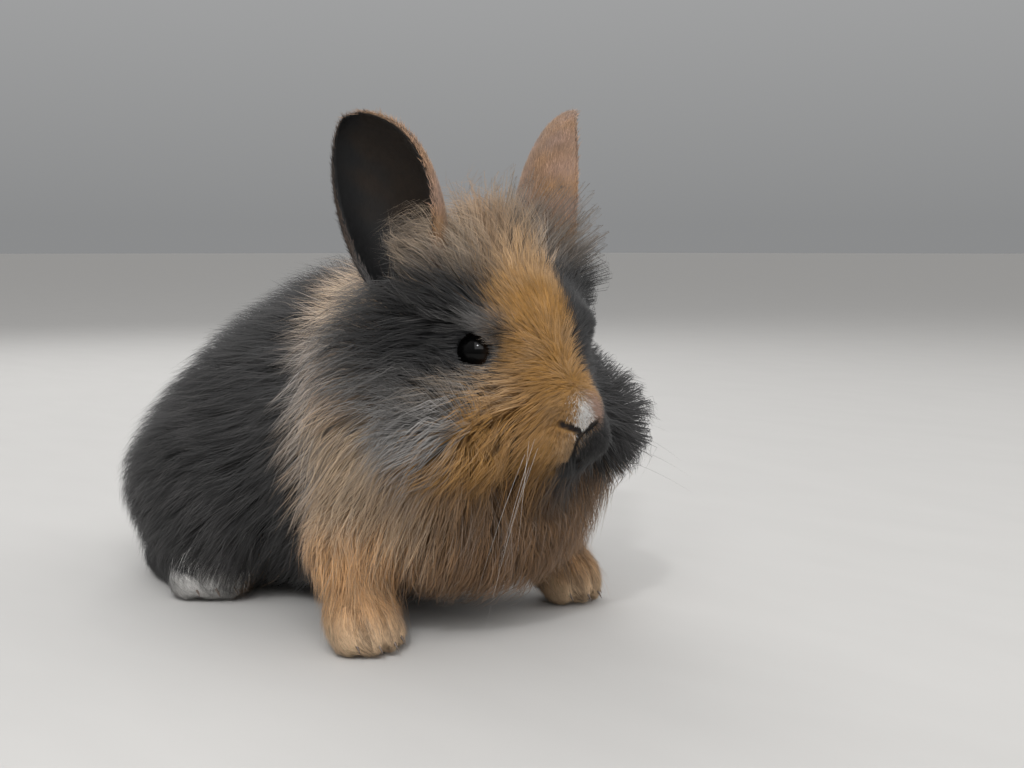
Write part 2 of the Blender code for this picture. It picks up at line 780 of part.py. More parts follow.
eyes_and_ears = []
for tag, (side, *_) in sides.items():
    centre = from_head((side * EYE_AT[0], EYE_AT[1], EYE_AT[2]))
    eye = sphere("eye_" + tag, centre, EYE_RADIUS, EYE_DETAIL)
    simplify(eye, EYE_TRIANGLES)
    tools = [sphere("socket", centre, EYE_RADIUS + GAP + SOCKET_SPARE, SOCKET_DETAIL), opening_of_lids(side)]
    tools.append(groove([(side * x, y, z) for x, y, z in MOUTH_SIDE], MOUTH_SIZES))
    tools.append(groove([(side * x, y, z) for x, y, z in NOSTRIL], NOSTRIL_SIZES))
    cut(head, tools)
    remove(tools)
    root = from_head((side * EAR_ROOT[0], EAR_ROOT[1], EAR_ROOT[2]))
    opens = HEAD_TURN @ np.array((side * EAR_OPENS[0], EAR_OPENS[1], EAR_OPENS[2]))
    ear = rolled_sheet("ear_" + tag, root, from_head(EAR_TIP[tag]), opens, -side)
    cut(ear, [head_jacket, neck_jacket])
    eyes_and_ears += [eye, ear]
philtrum = groove(PHILTRUM, PHILTRUM_SIZES)
cut(head, [philtrum])
remove([philtrum, head_jacket, neck_jacket, torso_jacket])



def inside(low, high):
    """Test for points whose distance aside, place along and height lie between two corners."""

    def keep(points):
        folded = np.stack((np.abs(points[:, 0]), points[:, 1], points[:, 2]), axis=1)
        return np.all((folded > low) & (folded < high), axis=1)

    return keep


def on_cheek(points):
    return CHEEKS(in_head(points))


def on_crown(points):
    """Behind a line that leans forward as it climbs, and not over the eyes."""
    local = in_head(points)
    behind = local[:, 1] + CROWN_LEAN * local[:, 2] > CROWN_EDGE
    return CAP(local) & behind & (np.abs(local[:, 0]) + local[:, 2] > CROWN_WIDTH)


# Corners of the regions where locks root: the first two in the head's own axes, the others in the frame
CHEEKS = inside((14, -15, -60), (60, 30, 2))
CAP = inside((-1, -60, 2), (60, 60, 60))
CROWN_LEAN = 0.35
CROWN_EDGE = 6.0
CROWN_WIDTH = 14.0
WHOLE = inside((-1, -300, 12), (300, 300, 300))
BREAST = inside((-1, -300, 12), (300, 32, 64))
FLANKS = inside((-1, 32, 12), (300, 300, 300))
OUTSIDE = inside((44, -300, 12), (300, 300, 300))
UPPER_LEG = inside((-1, -300, 20), (300, 300, 46))

# Long coat: the node, its form, the middle and stretch of the directions that are tried, how many, where roots
# are kept, the lie, the length and width of the locks and their sections
COATS = [
    ("head", head_form, HEAD_CORE, EVEN, 200, on_cheek, head_lie, 23, 10.0, CURVED),
    ("head", head_form, HEAD_CORE, EVEN, 180, on_crown, head_lie, 20, 9.5, CURVED),
    ("neck", neck_form, MANE[1], EVEN, 210, WHOLE, mane_lie, 27, 12.5, PLAIN),
    ("torso", torso_form, CHEST[1], EVEN, 98, BREAST, body_lie, 26, 12.0, CURVED),
    ("torso", torso_form, TORSO_CORE, TORSO_STRETCH, 128, FLANKS, body_lie, 30, 15.0, PLAIN),
    ("tail", tail_form, SCUT[1], EVEN, 18, WHOLE, body_lie, 15, 10.0, PLAIN),
]
claws = {}
for tag, (side, *_) in sides.items():
    flip = np.array((side, 1, 1))
    haunch_form = side_form(HAUNCH, side, FLOOR_CLEAR)
    leg_form = side_form(fore_leg_masses(), side, 0)
    COATS.append(("haunch_" + tag, haunch_form, HAUNCH_CORE * flip, EVEN, 30, OUTSIDE, body_lie, 25, 14.0,
                  PLAIN))
    COATS.append(("fore_leg_" + tag, leg_form, SLEEVE[1] * flip, EVEN, 19, UPPER_LEG, body_lie, 17, 11.0,
                  PLAIN))
    claws["hind_foot_" + tag] = claws_of(toes_at(HIND_TOES_AT, HIND_TOE_SPREAD), HIND_TOE, side)
    claws["fore_leg_" + tag] = claws_of(toes_at(FORE_TOES_AT, FORE_TOE_SPREAD), FORE_TOE, side)

# The feet, whose claws nothing may meet, come first, and each later node keeps clear of what is there
clawed = [thing for _, _, *both in sides.values() for thing in both]
haunches = [haunch for _, haunch, *_ in sides.values()]
nodes = {thing.name: thing for thing in (*clawed, head, neck, torso, tail, *haunches, *eyes_and_ears)}
trees = {name: tree_of(thing) for name, thing in nodes.items()}
for tag, (side, *_) in sides.items():
    guard = sphere("guard", from_head((side * EYE_AT[0], EYE_AT[1], EYE_AT[2])), EYE_CLEAR, SOCKET_DETAIL)
    trees["guard_" + tag] = tree_of(guard)
    remove([guard])
for name, thing in nodes.items():
    pieces = claws.get(name, [])
    others = [tree for other, tree in trees.items() if other != name]
    for owner, form, centre, stretch, count, keep, lie, length, width, sections in COATS:
        if owner == name:
            dice = random.Random(LOCK_SEED)
            paths = lock_paths(form, centre, stretch, count, keep, lie, length, sections, dice)
            pieces = pieces + locks_clear_of(others, paths, width, sections, dice)
    if pieces:
        unite(thing, pieces)
        trees[name] = tree_of(thing)

# Colour and roughness of each node, from its place on the coat
SLATE = (0.075, 0.075, 0.085)
FAWN = (0.42, 0.23, 0.11)
CREAM = (0.50, 0.38, 0.26)
GREY_FACE = (0.16, 0.15, 0.15)
COLOURS = {
    "head": (GREY_FACE, 0.85),
    "neck": (CREAM, 0.9),
    "torso": (SLATE, 0.9),
    "tail": (SLATE, 0.9),
    "haunch": (SLATE, 0.9),
    "hind_foot": (CREAM, 0.85),
    "fore_leg": (FAWN, 0.85),
    "ear": (FAWN, 0.8),
    "eye": ((0.012, 0.010, 0.010), 0.06),
}


def finish(thing, parent):
    """Gives a node its own material, smooth faces and an origin in its middle."""
    colour, roughness = COLOURS[kind_of(thing.name)]
    material = bpy.data.materials.new(thing.name)
    material.use_nodes = True
    surface = material.node_tree.nodes["Principled BSDF"]
    surface.inputs["Base Color"].default_value = (*colour, 1.0)
    surface.inputs["Roughness"].default_value = roughness
    surface.inputs["Metallic"].default_value = 0.0
    mesh = thing.data
    mesh.materials.clear()
    mesh.materials.append(material)
    mesh.shade_smooth()
    mesh.set_sharp_from_angle(angle=math.radians(SHARP_ANGLE))
    corners = [Vector(corner) for corner in thing.bound_box]
    middle = sum(corners, Vector()) / len(corners)
    mesh.transform(Matrix.Translation(-middle))
    thing.location = middle + Vector(ORIGIN_SHIFT) * MM
    thing.parent = parent


rabbit = bpy.data.objects.new("rabbit", None)
bpy.context.scene.collection.objects.link(rabbit)
for node in [thing for thing in bpy.data.objects if thing.type == "MESH"]:
    finish(node, rabbit)
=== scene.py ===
# %% [markdown]
# # A dwarf rabbit with a mane, life size
#
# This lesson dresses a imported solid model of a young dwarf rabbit. The solids give its true size and
# outline. Here they are replaced by one skin with a dense coat of hair, built as real mesh, with wet dark
# eyes, claws and whiskers. A living animal has no flat surfaces and no even colours, so nearly everything
# below is a rule over space: how deep the coat is, which way it runs and which colour it has at a place.

# %% Load the frame
import json
import math

import bmesh
import bpy
import numpy as np
from mathutils import Matrix, Vector
from mathutils.bvhtree import BVHTree
from mathutils.kdtree import KDTree

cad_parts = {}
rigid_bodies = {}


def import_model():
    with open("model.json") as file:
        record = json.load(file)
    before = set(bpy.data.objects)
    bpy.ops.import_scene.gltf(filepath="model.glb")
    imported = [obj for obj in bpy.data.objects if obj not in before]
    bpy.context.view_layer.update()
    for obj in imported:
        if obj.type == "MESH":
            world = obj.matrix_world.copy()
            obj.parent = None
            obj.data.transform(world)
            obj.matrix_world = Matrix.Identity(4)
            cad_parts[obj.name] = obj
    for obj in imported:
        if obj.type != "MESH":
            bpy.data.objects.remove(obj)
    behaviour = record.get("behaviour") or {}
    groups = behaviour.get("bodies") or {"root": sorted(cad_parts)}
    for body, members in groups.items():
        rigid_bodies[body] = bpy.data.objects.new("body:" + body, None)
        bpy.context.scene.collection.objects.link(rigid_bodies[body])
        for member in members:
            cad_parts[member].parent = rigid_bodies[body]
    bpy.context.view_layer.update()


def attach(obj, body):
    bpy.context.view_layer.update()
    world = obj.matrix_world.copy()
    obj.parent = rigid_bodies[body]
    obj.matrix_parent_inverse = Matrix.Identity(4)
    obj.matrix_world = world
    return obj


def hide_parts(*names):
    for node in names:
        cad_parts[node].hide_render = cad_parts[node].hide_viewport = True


for old in list(bpy.data.objects):
    bpy.data.objects.remove(old)
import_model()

# %% [markdown]
# ## Camera
#
# The rabbit was looked at from its right front, from about the height of its ears, with a short telephoto
# lens. All places below are in millimetres on the rabbit's own axes: it faces -Y, its left side is +X and
# its soles stand at Z = 0. One constant moves them into the frame of the solids.

# %% Camera at the rabbit's right front
MM = 0.001
SHIFT = np.array((0.6, -64.2, 0.0))
CAMERA_AT = np.array((-255.78, -292.88, 115.0))
CAMERA_TURN = 42.3  # degrees from the rabbit's own length
CAMERA_DIP = 5.885
LENS = 45.7


def into_frame(points):
    """Points in millimetres on the rabbit's axes, as metres in the frame."""
    return (np.asarray(points, float) + SHIFT) * MM


turn, dip = math.radians(CAMERA_TURN), math.radians(CAMERA_DIP)
look = Vector((math.sin(turn) * math.cos(dip), math.cos(turn) * math.cos(dip), -math.sin(dip)))
lens = bpy.data.cameras.new("camera")
lens.lens = LENS
lens.sensor_width = 36
lens.clip_start = 0.01
camera = bpy.data.objects.new("camera", lens)
camera.location = into_frame(CAMERA_AT)
camera.rotation_mode = "QUATERNION"
camera.rotation_quaternion = look.to_track_quat("-Z", "Y")
bpy.context.scene.collection.objects.link(camera)
bpy.context.scene.camera = camera
print("camera at", [round(c, 3) for c in camera.location])

# %% [markdown]
# ## The body as a field
#
# Under its coat a rabbit is a set of round masses that flow into each other. Each one is an egg or a rod
# with a known coat on it. A distance field melts them into one form. With no coat taken off, the field is
# the outline that one sees, out to the tips of the hair. With the whole coat taken off, it is the skin.
# Sculpting would give the same skin, but a field also tells every hair how far it may rise, so one rule
# serves both.

# %% Head axes
EYES_MIDDLE = np.array((0.0, -16.5, 86.0))
HEAD_TURN = np.array(Matrix.Rotation(math.radians(-6.0), 3, "Z"))


def from_head(points):
    return np.asarray(points, float) @ HEAD_TURN.T + EYES_MIDDLE


def in_head(points):
    return (points - EYES_MIDDLE) @ HEAD_TURN


def unit(vectors):
    return vectors / (np.linalg.norm(vectors, axis=-1, keepdims=True) + 1e-9)


print("between the eyes:", EYES_MIDDLE)

# %% Masses: centre, radii, coat, blend for an egg; ends, end radii, coat, blend for a rod


def egg(centre, radii, coat, blend):
    return ("egg", np.array(centre, float), np.array(radii, float), coat, blend)


def rod(start, end, first, last, coat, blend):
    return ("rod", np.array((start, end), float), np.array((first, last), float), coat, blend)


def mirrored(mass):
    kind, places, *rest = mass
    return (kind, places * np.array((-1.0, 1.0, 1.0)), *rest)


CHEEK = egg((22, 5, -23), (24, 24, 20), 13, 12)
TEMPLE = egg((19, 15, 17), (15, 14, 17), 11, 12)
SIDE = egg((15, 23, -4), (20, 19, 24), 11, 10)
BROW = egg((13, -4, 8), (8, 9, 5), 2.6, 5)
LIP = egg((6, -19.5, -23.5), (8.5, 9, 7.5), 2.4, 3)
LIDS = egg((15, 0, 0), (7.8, 7.8, 7.8), 0, 2.5)
HEAD = [
    egg((0, 8, 5), (21.5, 27, 22), 4, 0),
    egg((0, 14, 21), (25, 18, 24), 15, 8),
    TEMPLE, mirrored(TEMPLE), SIDE, mirrored(SIDE),
    rod((0, -3, -7), (0, -19, -16.5), 17.5, 11.5, 2.6, 8),
    CHEEK, mirrored(CHEEK), BROW, mirrored(BROW), egg((0, -13, -31), (9, 10, 7.5), 3, 5),
    LIP, mirrored(LIP), egg((0, -25.5, -16.5), (5.4, 4.6, 5.6), 0.8, 3), LIDS, mirrored(LIDS),
]
MANE = [egg((0, 18, 72), (49, 30, 42), 17, 0)]
TORSO = [
    egg((-2, 64, 54), (41, 48, 57), 13, 0),
    egg((-3, 97, 45), (46, 46, 51), 13, 14),
    egg((-3, 112, 33), (53, 56, 41), 14, 12),
    egg((0, 34, 56), (46, 42, 48), 13, 16),
    egg((1, 6, 46), (45, 34, 35), 15, 12),
]
SCUT = [egg((-4, 161, 46), (13, 14, 18), 9, 0)]
HAUNCH = [egg((41, 97, 32), (17, 39, 33), 9, 0)]
HIND_TOES = [(37.4, 86.5, 6), (42.4, 84.5, 6), (47.6, 87, 6), (52.4, 91.5, 6)]
FORE_TOES = [(34.1, 3.6, 5.6), (39, 0.4, 5.6), (44.1, 0.8, 5.6), (48.7, 5.2, 5.6)]
HIND_TOE_LONG, FORE_TOE_LONG = 8.5, 6.4  # half of a toe's length
HIND_FOOT = [rod((39, 127, 8), (44, 94, 7.5), 9.5, 10, 3, 0)]
HIND_FOOT += [egg(toe, (4.6, HIND_TOE_LONG, 6.0), 1.5, 1.5) for toe in HIND_TOES]
FORE_LEG = [rod((30, 20, 30), (40, 12, 15), 11, 9.5, 3, 0), egg((36, 17, 31), (17, 16, 19), 10, 4)]
FORE_LEG += [egg((41.5, 7, 8.5), (10.8, 12, 9), 2, 4)]
FORE_LEG += [egg(toe, (3.9, FORE_TOE_LONG, 5.6), 1.2, 1.2) for toe in FORE_TOES]
print("masses:", sum(len(g) for g in (HEAD, MANE, TORSO, SCUT, HAUNCH, HIND_FOOT, FORE_LEG)))

# %% Distance to the masses and to the whole body
BELLY_CLEAR = 4.0
BARE = 0.96  # share of the coat that comes off for the skin


def melt(first, second, width):
    """Smooth union of two distances."""
    share = np.clip(0.5 + 0.5 * (second - first) / width, 0.0, 1.0)
    return second + (first - second) * share - width * share * (1.0 - share)


def under(coat):
    """How far the skin lies below the tips: nearly all of a long coat, half of a short one."""
    return coat if coat > 5 else 0.5 * coat


def masses(points, group, bare):
    """Distance to one group, with a share of its coat taken off."""
    total = None
    for kind, places, sizes, coat, blend in group:
        small = sizes - bare * under(coat)
        if kind == "egg":
            local = points - places
            near = np.linalg.norm(local / small, axis=1)
            d = near * (near - 1.0) / (np.linalg.norm(local / small**2, axis=1) + 1e-9)
        else:
            along = places[1] - places[0]
            share = np.clip((points - places[0]) @ along / (along @ along), 0.0, 1.0)
            d = np.linalg.norm(points - places[0] - share[:, None] * along, axis=1)
            d = d - small[0] - share * (small[1] - small[0])
        total = d if total is None else melt(total, d, blend)
    return total


def folded(points):
    """The right side brought over to the left, for what is the same on both."""
    return points * np.where(points[:, :1] < 0, -1.0, 1.0) ** np.array((1, 0, 0))


def groups(points, bare):
    """Distances to head, mane, torso, tail, haunches, hind feet and forelegs, in that order."""
    both = folded(points)
    torso = -melt(-masses(points, TORSO, bare), points[:, 2] - BELLY_CLEAR, 4.0)
    haunch = np.maximum(masses(both, HAUNCH, bare), BELLY_CLEAR - points[:, 2])
    feet = [np.maximum(masses(both, group, bare), -points[:, 2]) for group in (HIND_FOOT, FORE_LEG)]
    head = masses(in_head(points), HEAD, bare)
    return [head, masses(points, MANE, bare), torso, masses(points, SCUT, bare), haunch, *feet]


def body(points, bare=0.0):
    """Distance to the whole rabbit: out to the tips of its coat, or nearer its skin."""
    total = None
    for d, width in zip(groups(points, bare), (0, 6, 6, 4, 4, 4, 4)):
        total = d if total is None else melt(total, d, width)
    return total


def slope(field, points, step=0.4):
    """Direction straight out of a field."""
    out = np.stack([field(points + step * axis) - field(points - step * axis) for axis in np.eye(3)], axis=1)
    return unit(out)


print("coat on the back:", round(float(body(np.array([[0, 64.0, 110.0]]), 1.0)[0]), 1), "mm")

# %% [markdown]
# ## Eyes, lids, mouth and nostrils as cuts in the field
#
# The lids are a low dome over the eye, opened by a cone from the middle of the ball. The line of the mouth,
# the slit under the nose and the two nostrils are soft grooves along short paths. Written into the field,
# they need no Boolean and stay smooth at any fineness of mesh.

# %% Cuts of the face
EYE_RADIUS = 6.6
EYE_AT = {side: from_head((side * 15.0, 0, 0)) for side in (1, -1)}
EYE_AXIS = {side: HEAD_TURN @ unit(np.array((side * 0.93, -0.30, 0.14))) for side in (1, -1)}
OPEN_UP, OPEN_ALONG, CORNER = 60.0, 51.0, 8.0
LINE_WIDE, LINE_DEEP = 1.25, 2.0  # grooves of the nose and the mouth
GAP_WIDE, GAP_DEEP = 1.15, 1.8  # between the toes
MUZZLE_REACH, FOOT_TOP = 24, 18  # no groove further from the muzzle, or higher on a foot
NOSE_FOOT = (-2.2, -31, -21.5)  # where the slit under the nose begins
FACE_PATHS = (
    (NOSE_FOOT, (-2.3, -29, -24), (-2.0, -27.5, -26.5), (-1.2, -26, -28.5)),
    (NOSE_FOOT, (-4.6, -30, -20.0), (-7.4, -27, -18.0)),
    ((-3.6, -30.5, -20.0), (-5.4, -29.5, -18.6), (-7.2, -27, -17.4)),
    (NOSE_FOOT, (0.6, -31, -19.6), (4.0, -30, -17.8)),
    ((0.4, -31, -19.0), (2.2, -31, -18.0), (4.0, -30, -17.0)),
    ((-1.2, -26, -28.5), (-4, -24, -29.5), (-7.0, -20, -30.5)),
    ((-1.2, -26, -28.5), (2, -24.5, -29.2), (5.4, -21, -30)),
)


def lid_angle(points, side):
    """Degrees from a point to the edge of the lids, from the middle of the eye: under 0 in the opening."""
    local = points - EYE_AT[side]
    axis = EYE_AXIS[side]
    along = unit(np.cross(axis, (0, 0, 1.0)))
    up = np.cross(along, axis)
    reach = np.degrees(np.arccos(np.clip(unit(local) @ axis, -1, 1)))
    angle = np.arctan2(local @ up, local @ along)
    wide = OPEN_ALONG + CORNER * np.abs(np.cos(angle)) ** 5
    return reach - np.hypot(OPEN_UP * np.sin(angle), wide * np.cos(angle))


def to_surface(field, points, steps=4):
    """Slides points along the slope of a field, on to its surface."""
    for _ in range(steps):
        points = points - slope(field, points) * field(points)[:, None]
    return points


def bare_skin(points):
    """Distance to the skin before the cuts of the face."""
    return body(points, BARE)


def on_skin(path):
    """A path in short steps, laid on the skin."""
    path = np.asarray(path, float)
    steps = np.linspace(0, len(path) - 1, 4 * len(path))
    fine = np.stack([np.interp(steps, np.arange(len(path)), path[:, i]) for i in range(3)], axis=1)
    return to_surface(bare_skin, fine, steps=6)


def toe_paths():
    """Lines between the toes, from the floor over the foot."""
    for toes, long in ((HIND_TOES, HIND_TOE_LONG), (FORE_TOES, FORE_TOE_LONG)):
        for a, b in zip(toes[:-1], toes[1:]):
            x, y, z = (np.array(a) + b) / 2
            over_top = (x, y - long * 0.9, z + 1), (x, y - long * 0.3, z + 5.5)
            yield (x, y - long, z - 4), *over_top, (x, y + 3, z + 8)


FACE_LINES = [on_skin(from_head(path)) for path in FACE_PATHS]
TOE_LINES = [on_skin(path) for path in toe_paths()]


def near_paths(points, paths, width):
    """1 on any of the paths, falling to 0 beside them."""
    best = np.full(len(points), 1e9)
    for path in paths:
        for a, b in zip(path[:-1], path[1:]):
            share = np.clip((points - a) @ (b - a) / ((b - a) @ (b - a) + 1e-9), 0, 1)
            best = np.minimum(best, ((points - a - share[:, None] * (b - a)) ** 2).sum(axis=1))
    return np.exp(-best / width**2)


def face_lines(points):
    """1 on the mouth, the slit and the nostrils, falling to 0 beside them."""
    total = np.zeros(len(points))
    near = np.linalg.norm(points - from_head((0, -24, -23)), axis=1) < MUZZLE_REACH
    total[near] = near_paths(points[near], FACE_LINES, LINE_WIDE)
    return total


def toe_gaps(points):
    """1 between two toes, falling to 0 on them."""
    total = np.zeros(len(points))
    low = points[:, 2] < FOOT_TOP
    total[low] = near_paths(folded(points[low]), TOE_LINES, GAP_WIDE)
    return total


def skin(points):
    """Distance to the bare skin, with the face's cuts in it."""
    d = bare_skin(points) + LINE_DEEP * face_lines(points) + GAP_DEEP * toe_gaps(points)
    for side in (1, -1):
        reach = np.linalg.norm(points - EYE_AT[side], axis=1)
        cone = reach * np.sin(np.radians(np.clip(lid_angle(points, side), -60, 60)))
        d = np.maximum(d, np.minimum(-cone, reach - EYE_RADIUS + 0.5))
    return d


print("lid edge at", LIDS[2][0], "mm from the middle of a ball of", EYE_RADIUS)

# %% [markdown]
# ## Skin
#
# One closed skin takes the place of every node of flesh, so that no seam shows anywhere. Rough balls for
# the masses are melted by a voxel remesh, the mesh is refined round the eyes and the mouth, where edges are
# fine, and then every point slides along the slope of the field on to the true surface.

# %% Helpers that make a piece
SKIN_VOXEL = 1.5
OUTLINE_VOXEL = 2.2
pieces = []


def placed(name, mesh):
    """Puts a mesh into the scene as a piece of the rabbit."""
    thing = bpy.data.objects.new(name, mesh)
    bpy.context.scene.collection.objects.link(thing)
    pieces.append(thing)
    return thing


def piece(name, points, faces, edges=()):
    """A piece from points on the rabbit's axes."""
    mesh = bpy.data.meshes.new(name)
    mesh.from_pydata(into_frame(points).tolist(), edges, faces)
    mesh.update()
    return placed(name, mesh)


def points_of(mesh):
    """A mesh's points on the rabbit's axes."""
    flat = np.empty(len(mesh.vertices) * 3)
    mesh.vertices.foreach_get("co", flat)
    return flat.reshape(-1, 3) / MM - SHIFT


def applied(thing):
    """Turns a piece's modifiers into plain mesh."""
    depsgraph = bpy.context.evaluated_depsgraph_get()
    mesh = bpy.data.meshes.new_from_object(thing.evaluated_get(depsgraph))
    thing.modifiers.clear()
    thing.data = mesh


def globe(detail):
    bm = bmesh.new()
    bmesh.ops.create_icosphere(bm, subdivisions=detail, radius=1.0)
    directions = np.array([v.co for v in bm.verts])
    faces = np.array([[v.index for v in f.verts] for f in bm.faces])
    bm.free()
    return directions, faces


print("a fine ball has", len(globe(4)[1]), "faces")

# %% Rough balls, one for each mass and several along each rod


def rough_body(bare):
    """Balls for all the masses, still crossing each other."""
    directions, faces = globe(4)
    points, polygons = [], []

    def add(centre, radii, place):
        polygons.append(faces + sum(len(p) for p in points))
        points.append(place(directions * radii + centre))

    def middle_or_left(p):
        return p

    def right(p):
        return p * np.array((-1, 1, 1))

    both = [middle_or_left, right]
    for group, places in ((HEAD, [from_head]), (MANE, both[:1]), (TORSO, both[:1]), (SCUT, both[:1]),
                          (HAUNCH, both), (HIND_FOOT, both), (FORE_LEG, both)):
        for kind, centres, sizes, coat, _ in group:
            small = sizes - bare * under(coat)
            for place in places:
                if kind == "egg":
                    add(centres, small, place)
                else:
                    for share in np.linspace(0, 1, 6):
                        middle = centres[0] + (centres[1] - centres[0]) * share
                        add(middle, small[0] + (small[1] - small[0]) * share, place)
    return np.concatenate(points), np.concatenate(polygons).tolist()


def melted(name, bare, voxel):
    """The rough balls as one closed mesh, with edges of about the size of a voxel."""
    thing = piece(name, *rough_body(bare))
    remesh = thing.modifiers.new("melt", "REMESH")
    remesh.mode = "VOXEL"
    remesh.voxel_size = voxel * MM
    applied(thing)
    return thing


skin_piece = melted("skin", BARE, SKIN_VOXEL)
outline_piece = melted("outline", 0.0, OUTLINE_VOXEL)
print("faces of skin and outline:", [len(thing.data.polygons) for thing in (skin_piece, outline_piece)])

# %% Refine the face and slide every point on to the field
FINE_ROUND_EYES = 11.5
FINE_ROUND_MOUTH = 19.0


def refine(thing, middle, reach, cuts):
    """Cuts the edges within reach of a place into shorter ones."""
    bm = bmesh.new()
    bm.from_mesh(thing.data)
    centre = Vector(into_frame(middle))
    near = {v for v in bm.verts if (v.co - centre).length < reach * MM}
    edges = [e for e in bm.edges if e.verts[0] in near and e.verts[1] in near]
    bmesh.ops.subdivide_edges(bm, edges=edges, cuts=cuts, use_grid_fill=True)
    bmesh.ops.triangulate(bm, faces=[f for f in bm.faces if len(f.verts) > 4])
    bm.to_mesh(thing.data)
    bm.free()


for side in (1, -1):
    refine(skin_piece, EYE_AT[side] + EYE_AXIS[side] * 5.0, FINE_ROUND_EYES, 2)
refine(skin_piece, from_head((0, -24, -22)), FINE_ROUND_MOUTH, 1)
relax = skin_piece.modifiers.new("relax", "SMOOTH")
relax.factor = 0.5
relax.iterations = 3
applied(skin_piece)
skin_points = to_surface(skin, points_of(skin_piece.data), steps=6)
skin_points[:, 2] = np.maximum(skin_points[:, 2], 0.4)
skin_piece.data.vertices.foreach_set("co", into_frame(skin_points).ravel())
skin_piece.data.update()
skin_piece.data.shade_smooth()
outline_points = to_surface(body, points_of(outline_piece.data), steps=6)
outline_piece.data.vertices.foreach_set("co", into_frame(outline_points).ravel())
print("skin:", len(skin_piece.data.polygons), "faces")

# %% [markdown]
# ## Ears
#
# An ear is a thin leaf of gristle rolled into a cup: tight at the root, open at the tip. Its sheet is
# lofted from rings that follow the line from root to tip, so the two sides, inside and out, are one closed
# surface.

# %% Rolled ears
EAR_ROOT = (18.5, 25.0, 14.0)
EAR_TIP = {1: (37.4, 24.0, 72.0), -1: (-42.0, 26.0, 67.5)}
EAR_OPENS = (0.92, -0.39, 0.05)
EAR_BLUNT = {1: (2.1, 0.57), -1: (1.9, 0.62)}
EAR_WIDE = 23.2  # half of the sheet, laid flat
EAR_WIDEST = 0.33  # share of the way to the tip
EAR_OUTER = 1.38  # the outer side of the leaf stands out further than the inner one
EAR_RINGS = 44
EAR_ACROSS = 26


def ear_axes(side):
    """Root and tip of an ear, its direction up and the one that its cup opens to."""
    root, tip = from_head(np.array(EAR_ROOT) * (side, 1, 1)), from_head(EAR_TIP[side])
    along = unit(tip - root)
    front = HEAD_TURN @ (np.array(EAR_OPENS) * (side, 1, 1))
    return root, tip, along, unit(front - along * (front @ along))


def tube_faces(rings, around, first=0):
    """Faces of a closed tube of rings, with a cap at each end."""
    last = first + (rings - 1) * around
    faces = [tuple(range(first, first + around)), tuple(range(last, last + around))[::-1]]
    for a in range(first, last, around):
        faces += [(a + j, a + (j + 1) % around, a + around + (j + 1) % around, a + around + j)
                  for j in range(around)]
    return faces


def ear(side):
    """Points and faces of one ear: each ring runs along the outside and back along the inside."""
    root, tip, along, front = ear_axes(side)
    across = np.cross(along, front)
    points = []
    for t in 0.985 * (1 - (1 - np.linspace(0, 1, EAR_RINGS)) ** 1.35):
        past, before = max(0.0, (t - EAR_WIDEST) / (1 - EAR_WIDEST)), max(0.0, 1 - t / EAR_WIDEST)
        sheet = EAR_WIDE * (1 - past ** EAR_BLUNT[side][0]) ** EAR_BLUNT[side][1] * (1 - 0.35 * before**2)
        roll = math.radians(128.0 - 84.0 * t)
        radius, thick = sheet / roll, 2.4 - 1.5 * t
        centre = root + (tip - root) * t + front * (radius * 0.6 - 4.0 * math.sin(math.pi * t))
        for reach, turns in ((radius, range(EAR_ACROSS + 1)), (radius - thick, range(EAR_ACROSS, -1, -1))):
            for j in turns:
                angle = roll * (2 * j / EAR_ACROSS - 1)
                wide = max(reach, 0.3 * radius) * math.sin(angle)
                wide *= EAR_OUTER if wide * -side > 0 else 1.0
                points.append(centre + across * wide - front * max(reach, 0.3 * radius) * math.cos(angle))
    return np.array(points), tube_faces(EAR_RINGS, 2 * (EAR_ACROSS + 1))


def face_outwards(thing):
    """Splits wide caps into triangles, turns every face outwards and shades the piece smooth."""
    bm = bmesh.new()
    bm.from_mesh(thing.data)
    bmesh.ops.triangulate(bm, faces=[f for f in bm.faces if len(f.verts) > 4])
    bmesh.ops.recalc_face_normals(bm, faces=bm.faces)
    if bm.calc_volume(signed=True) < 0:
        bmesh.ops.reverse_faces(bm, faces=bm.faces)
    bm.to_mesh(thing.data)
    bm.free()
    thing.data.shade_smooth()


ears = {}
for side, tag in ((1, "left"), (-1, "right")):
    points, faces = ear(side)
    ears[side] = piece("ear_skin_" + tag, points, faces)
    face_outwards(ears[side])
    print("ear", tag, "height", round(float(points[:, 2].max()), 1), "mm")

# %% [markdown]
# ## Markings
#
# The coat is slate, fawn and cream in patches: slate on the body, a cream and fawn mane, a fawn blaze down
# the face between a grey right side and a black left cheek, fawn forelegs and pale hind toes. One function
# gives the colour at any place, for the skin and for the hairs that root there, so the two can never part.

# %% Palette, in linear light
SLATE = np.array((0.025, 0.0245, 0.025))
GREY = np.array((0.095, 0.091, 0.091))
SILVER = np.array((0.30, 0.285, 0.27))
BLACK = np.array((0.010, 0.010, 0.011))
AMBER = np.array((0.365, 0.182, 0.038))
FAWN = np.array((0.46, 0.255, 0.115))
RUST = np.array((0.22, 0.115, 0.047))
CREAM = np.array((0.60, 0.44, 0.29))
WHITE = np.array((0.72, 0.70, 0.67))
PINK = np.array((0.46, 0.30, 0.24))


def ramp(values, low, high):
    """0 under low, 1 over high, smooth between."""
    share = np.clip((values - low) / (high - low), 0, 1)
    return share * share * (3 - 2 * share)


def over(colour, above, share):
    """One colour laid over another, each plain or a row for each point."""
    return colour * (1 - share[:, None]) + np.asarray(above) * share[:, None]


def spot(*spans):
    """1 at a place and 0 far from it: each span gives values, their middle there and a width."""
    return np.exp(-sum(((values - middle) / width) ** 2 for values, middle, width in spans))


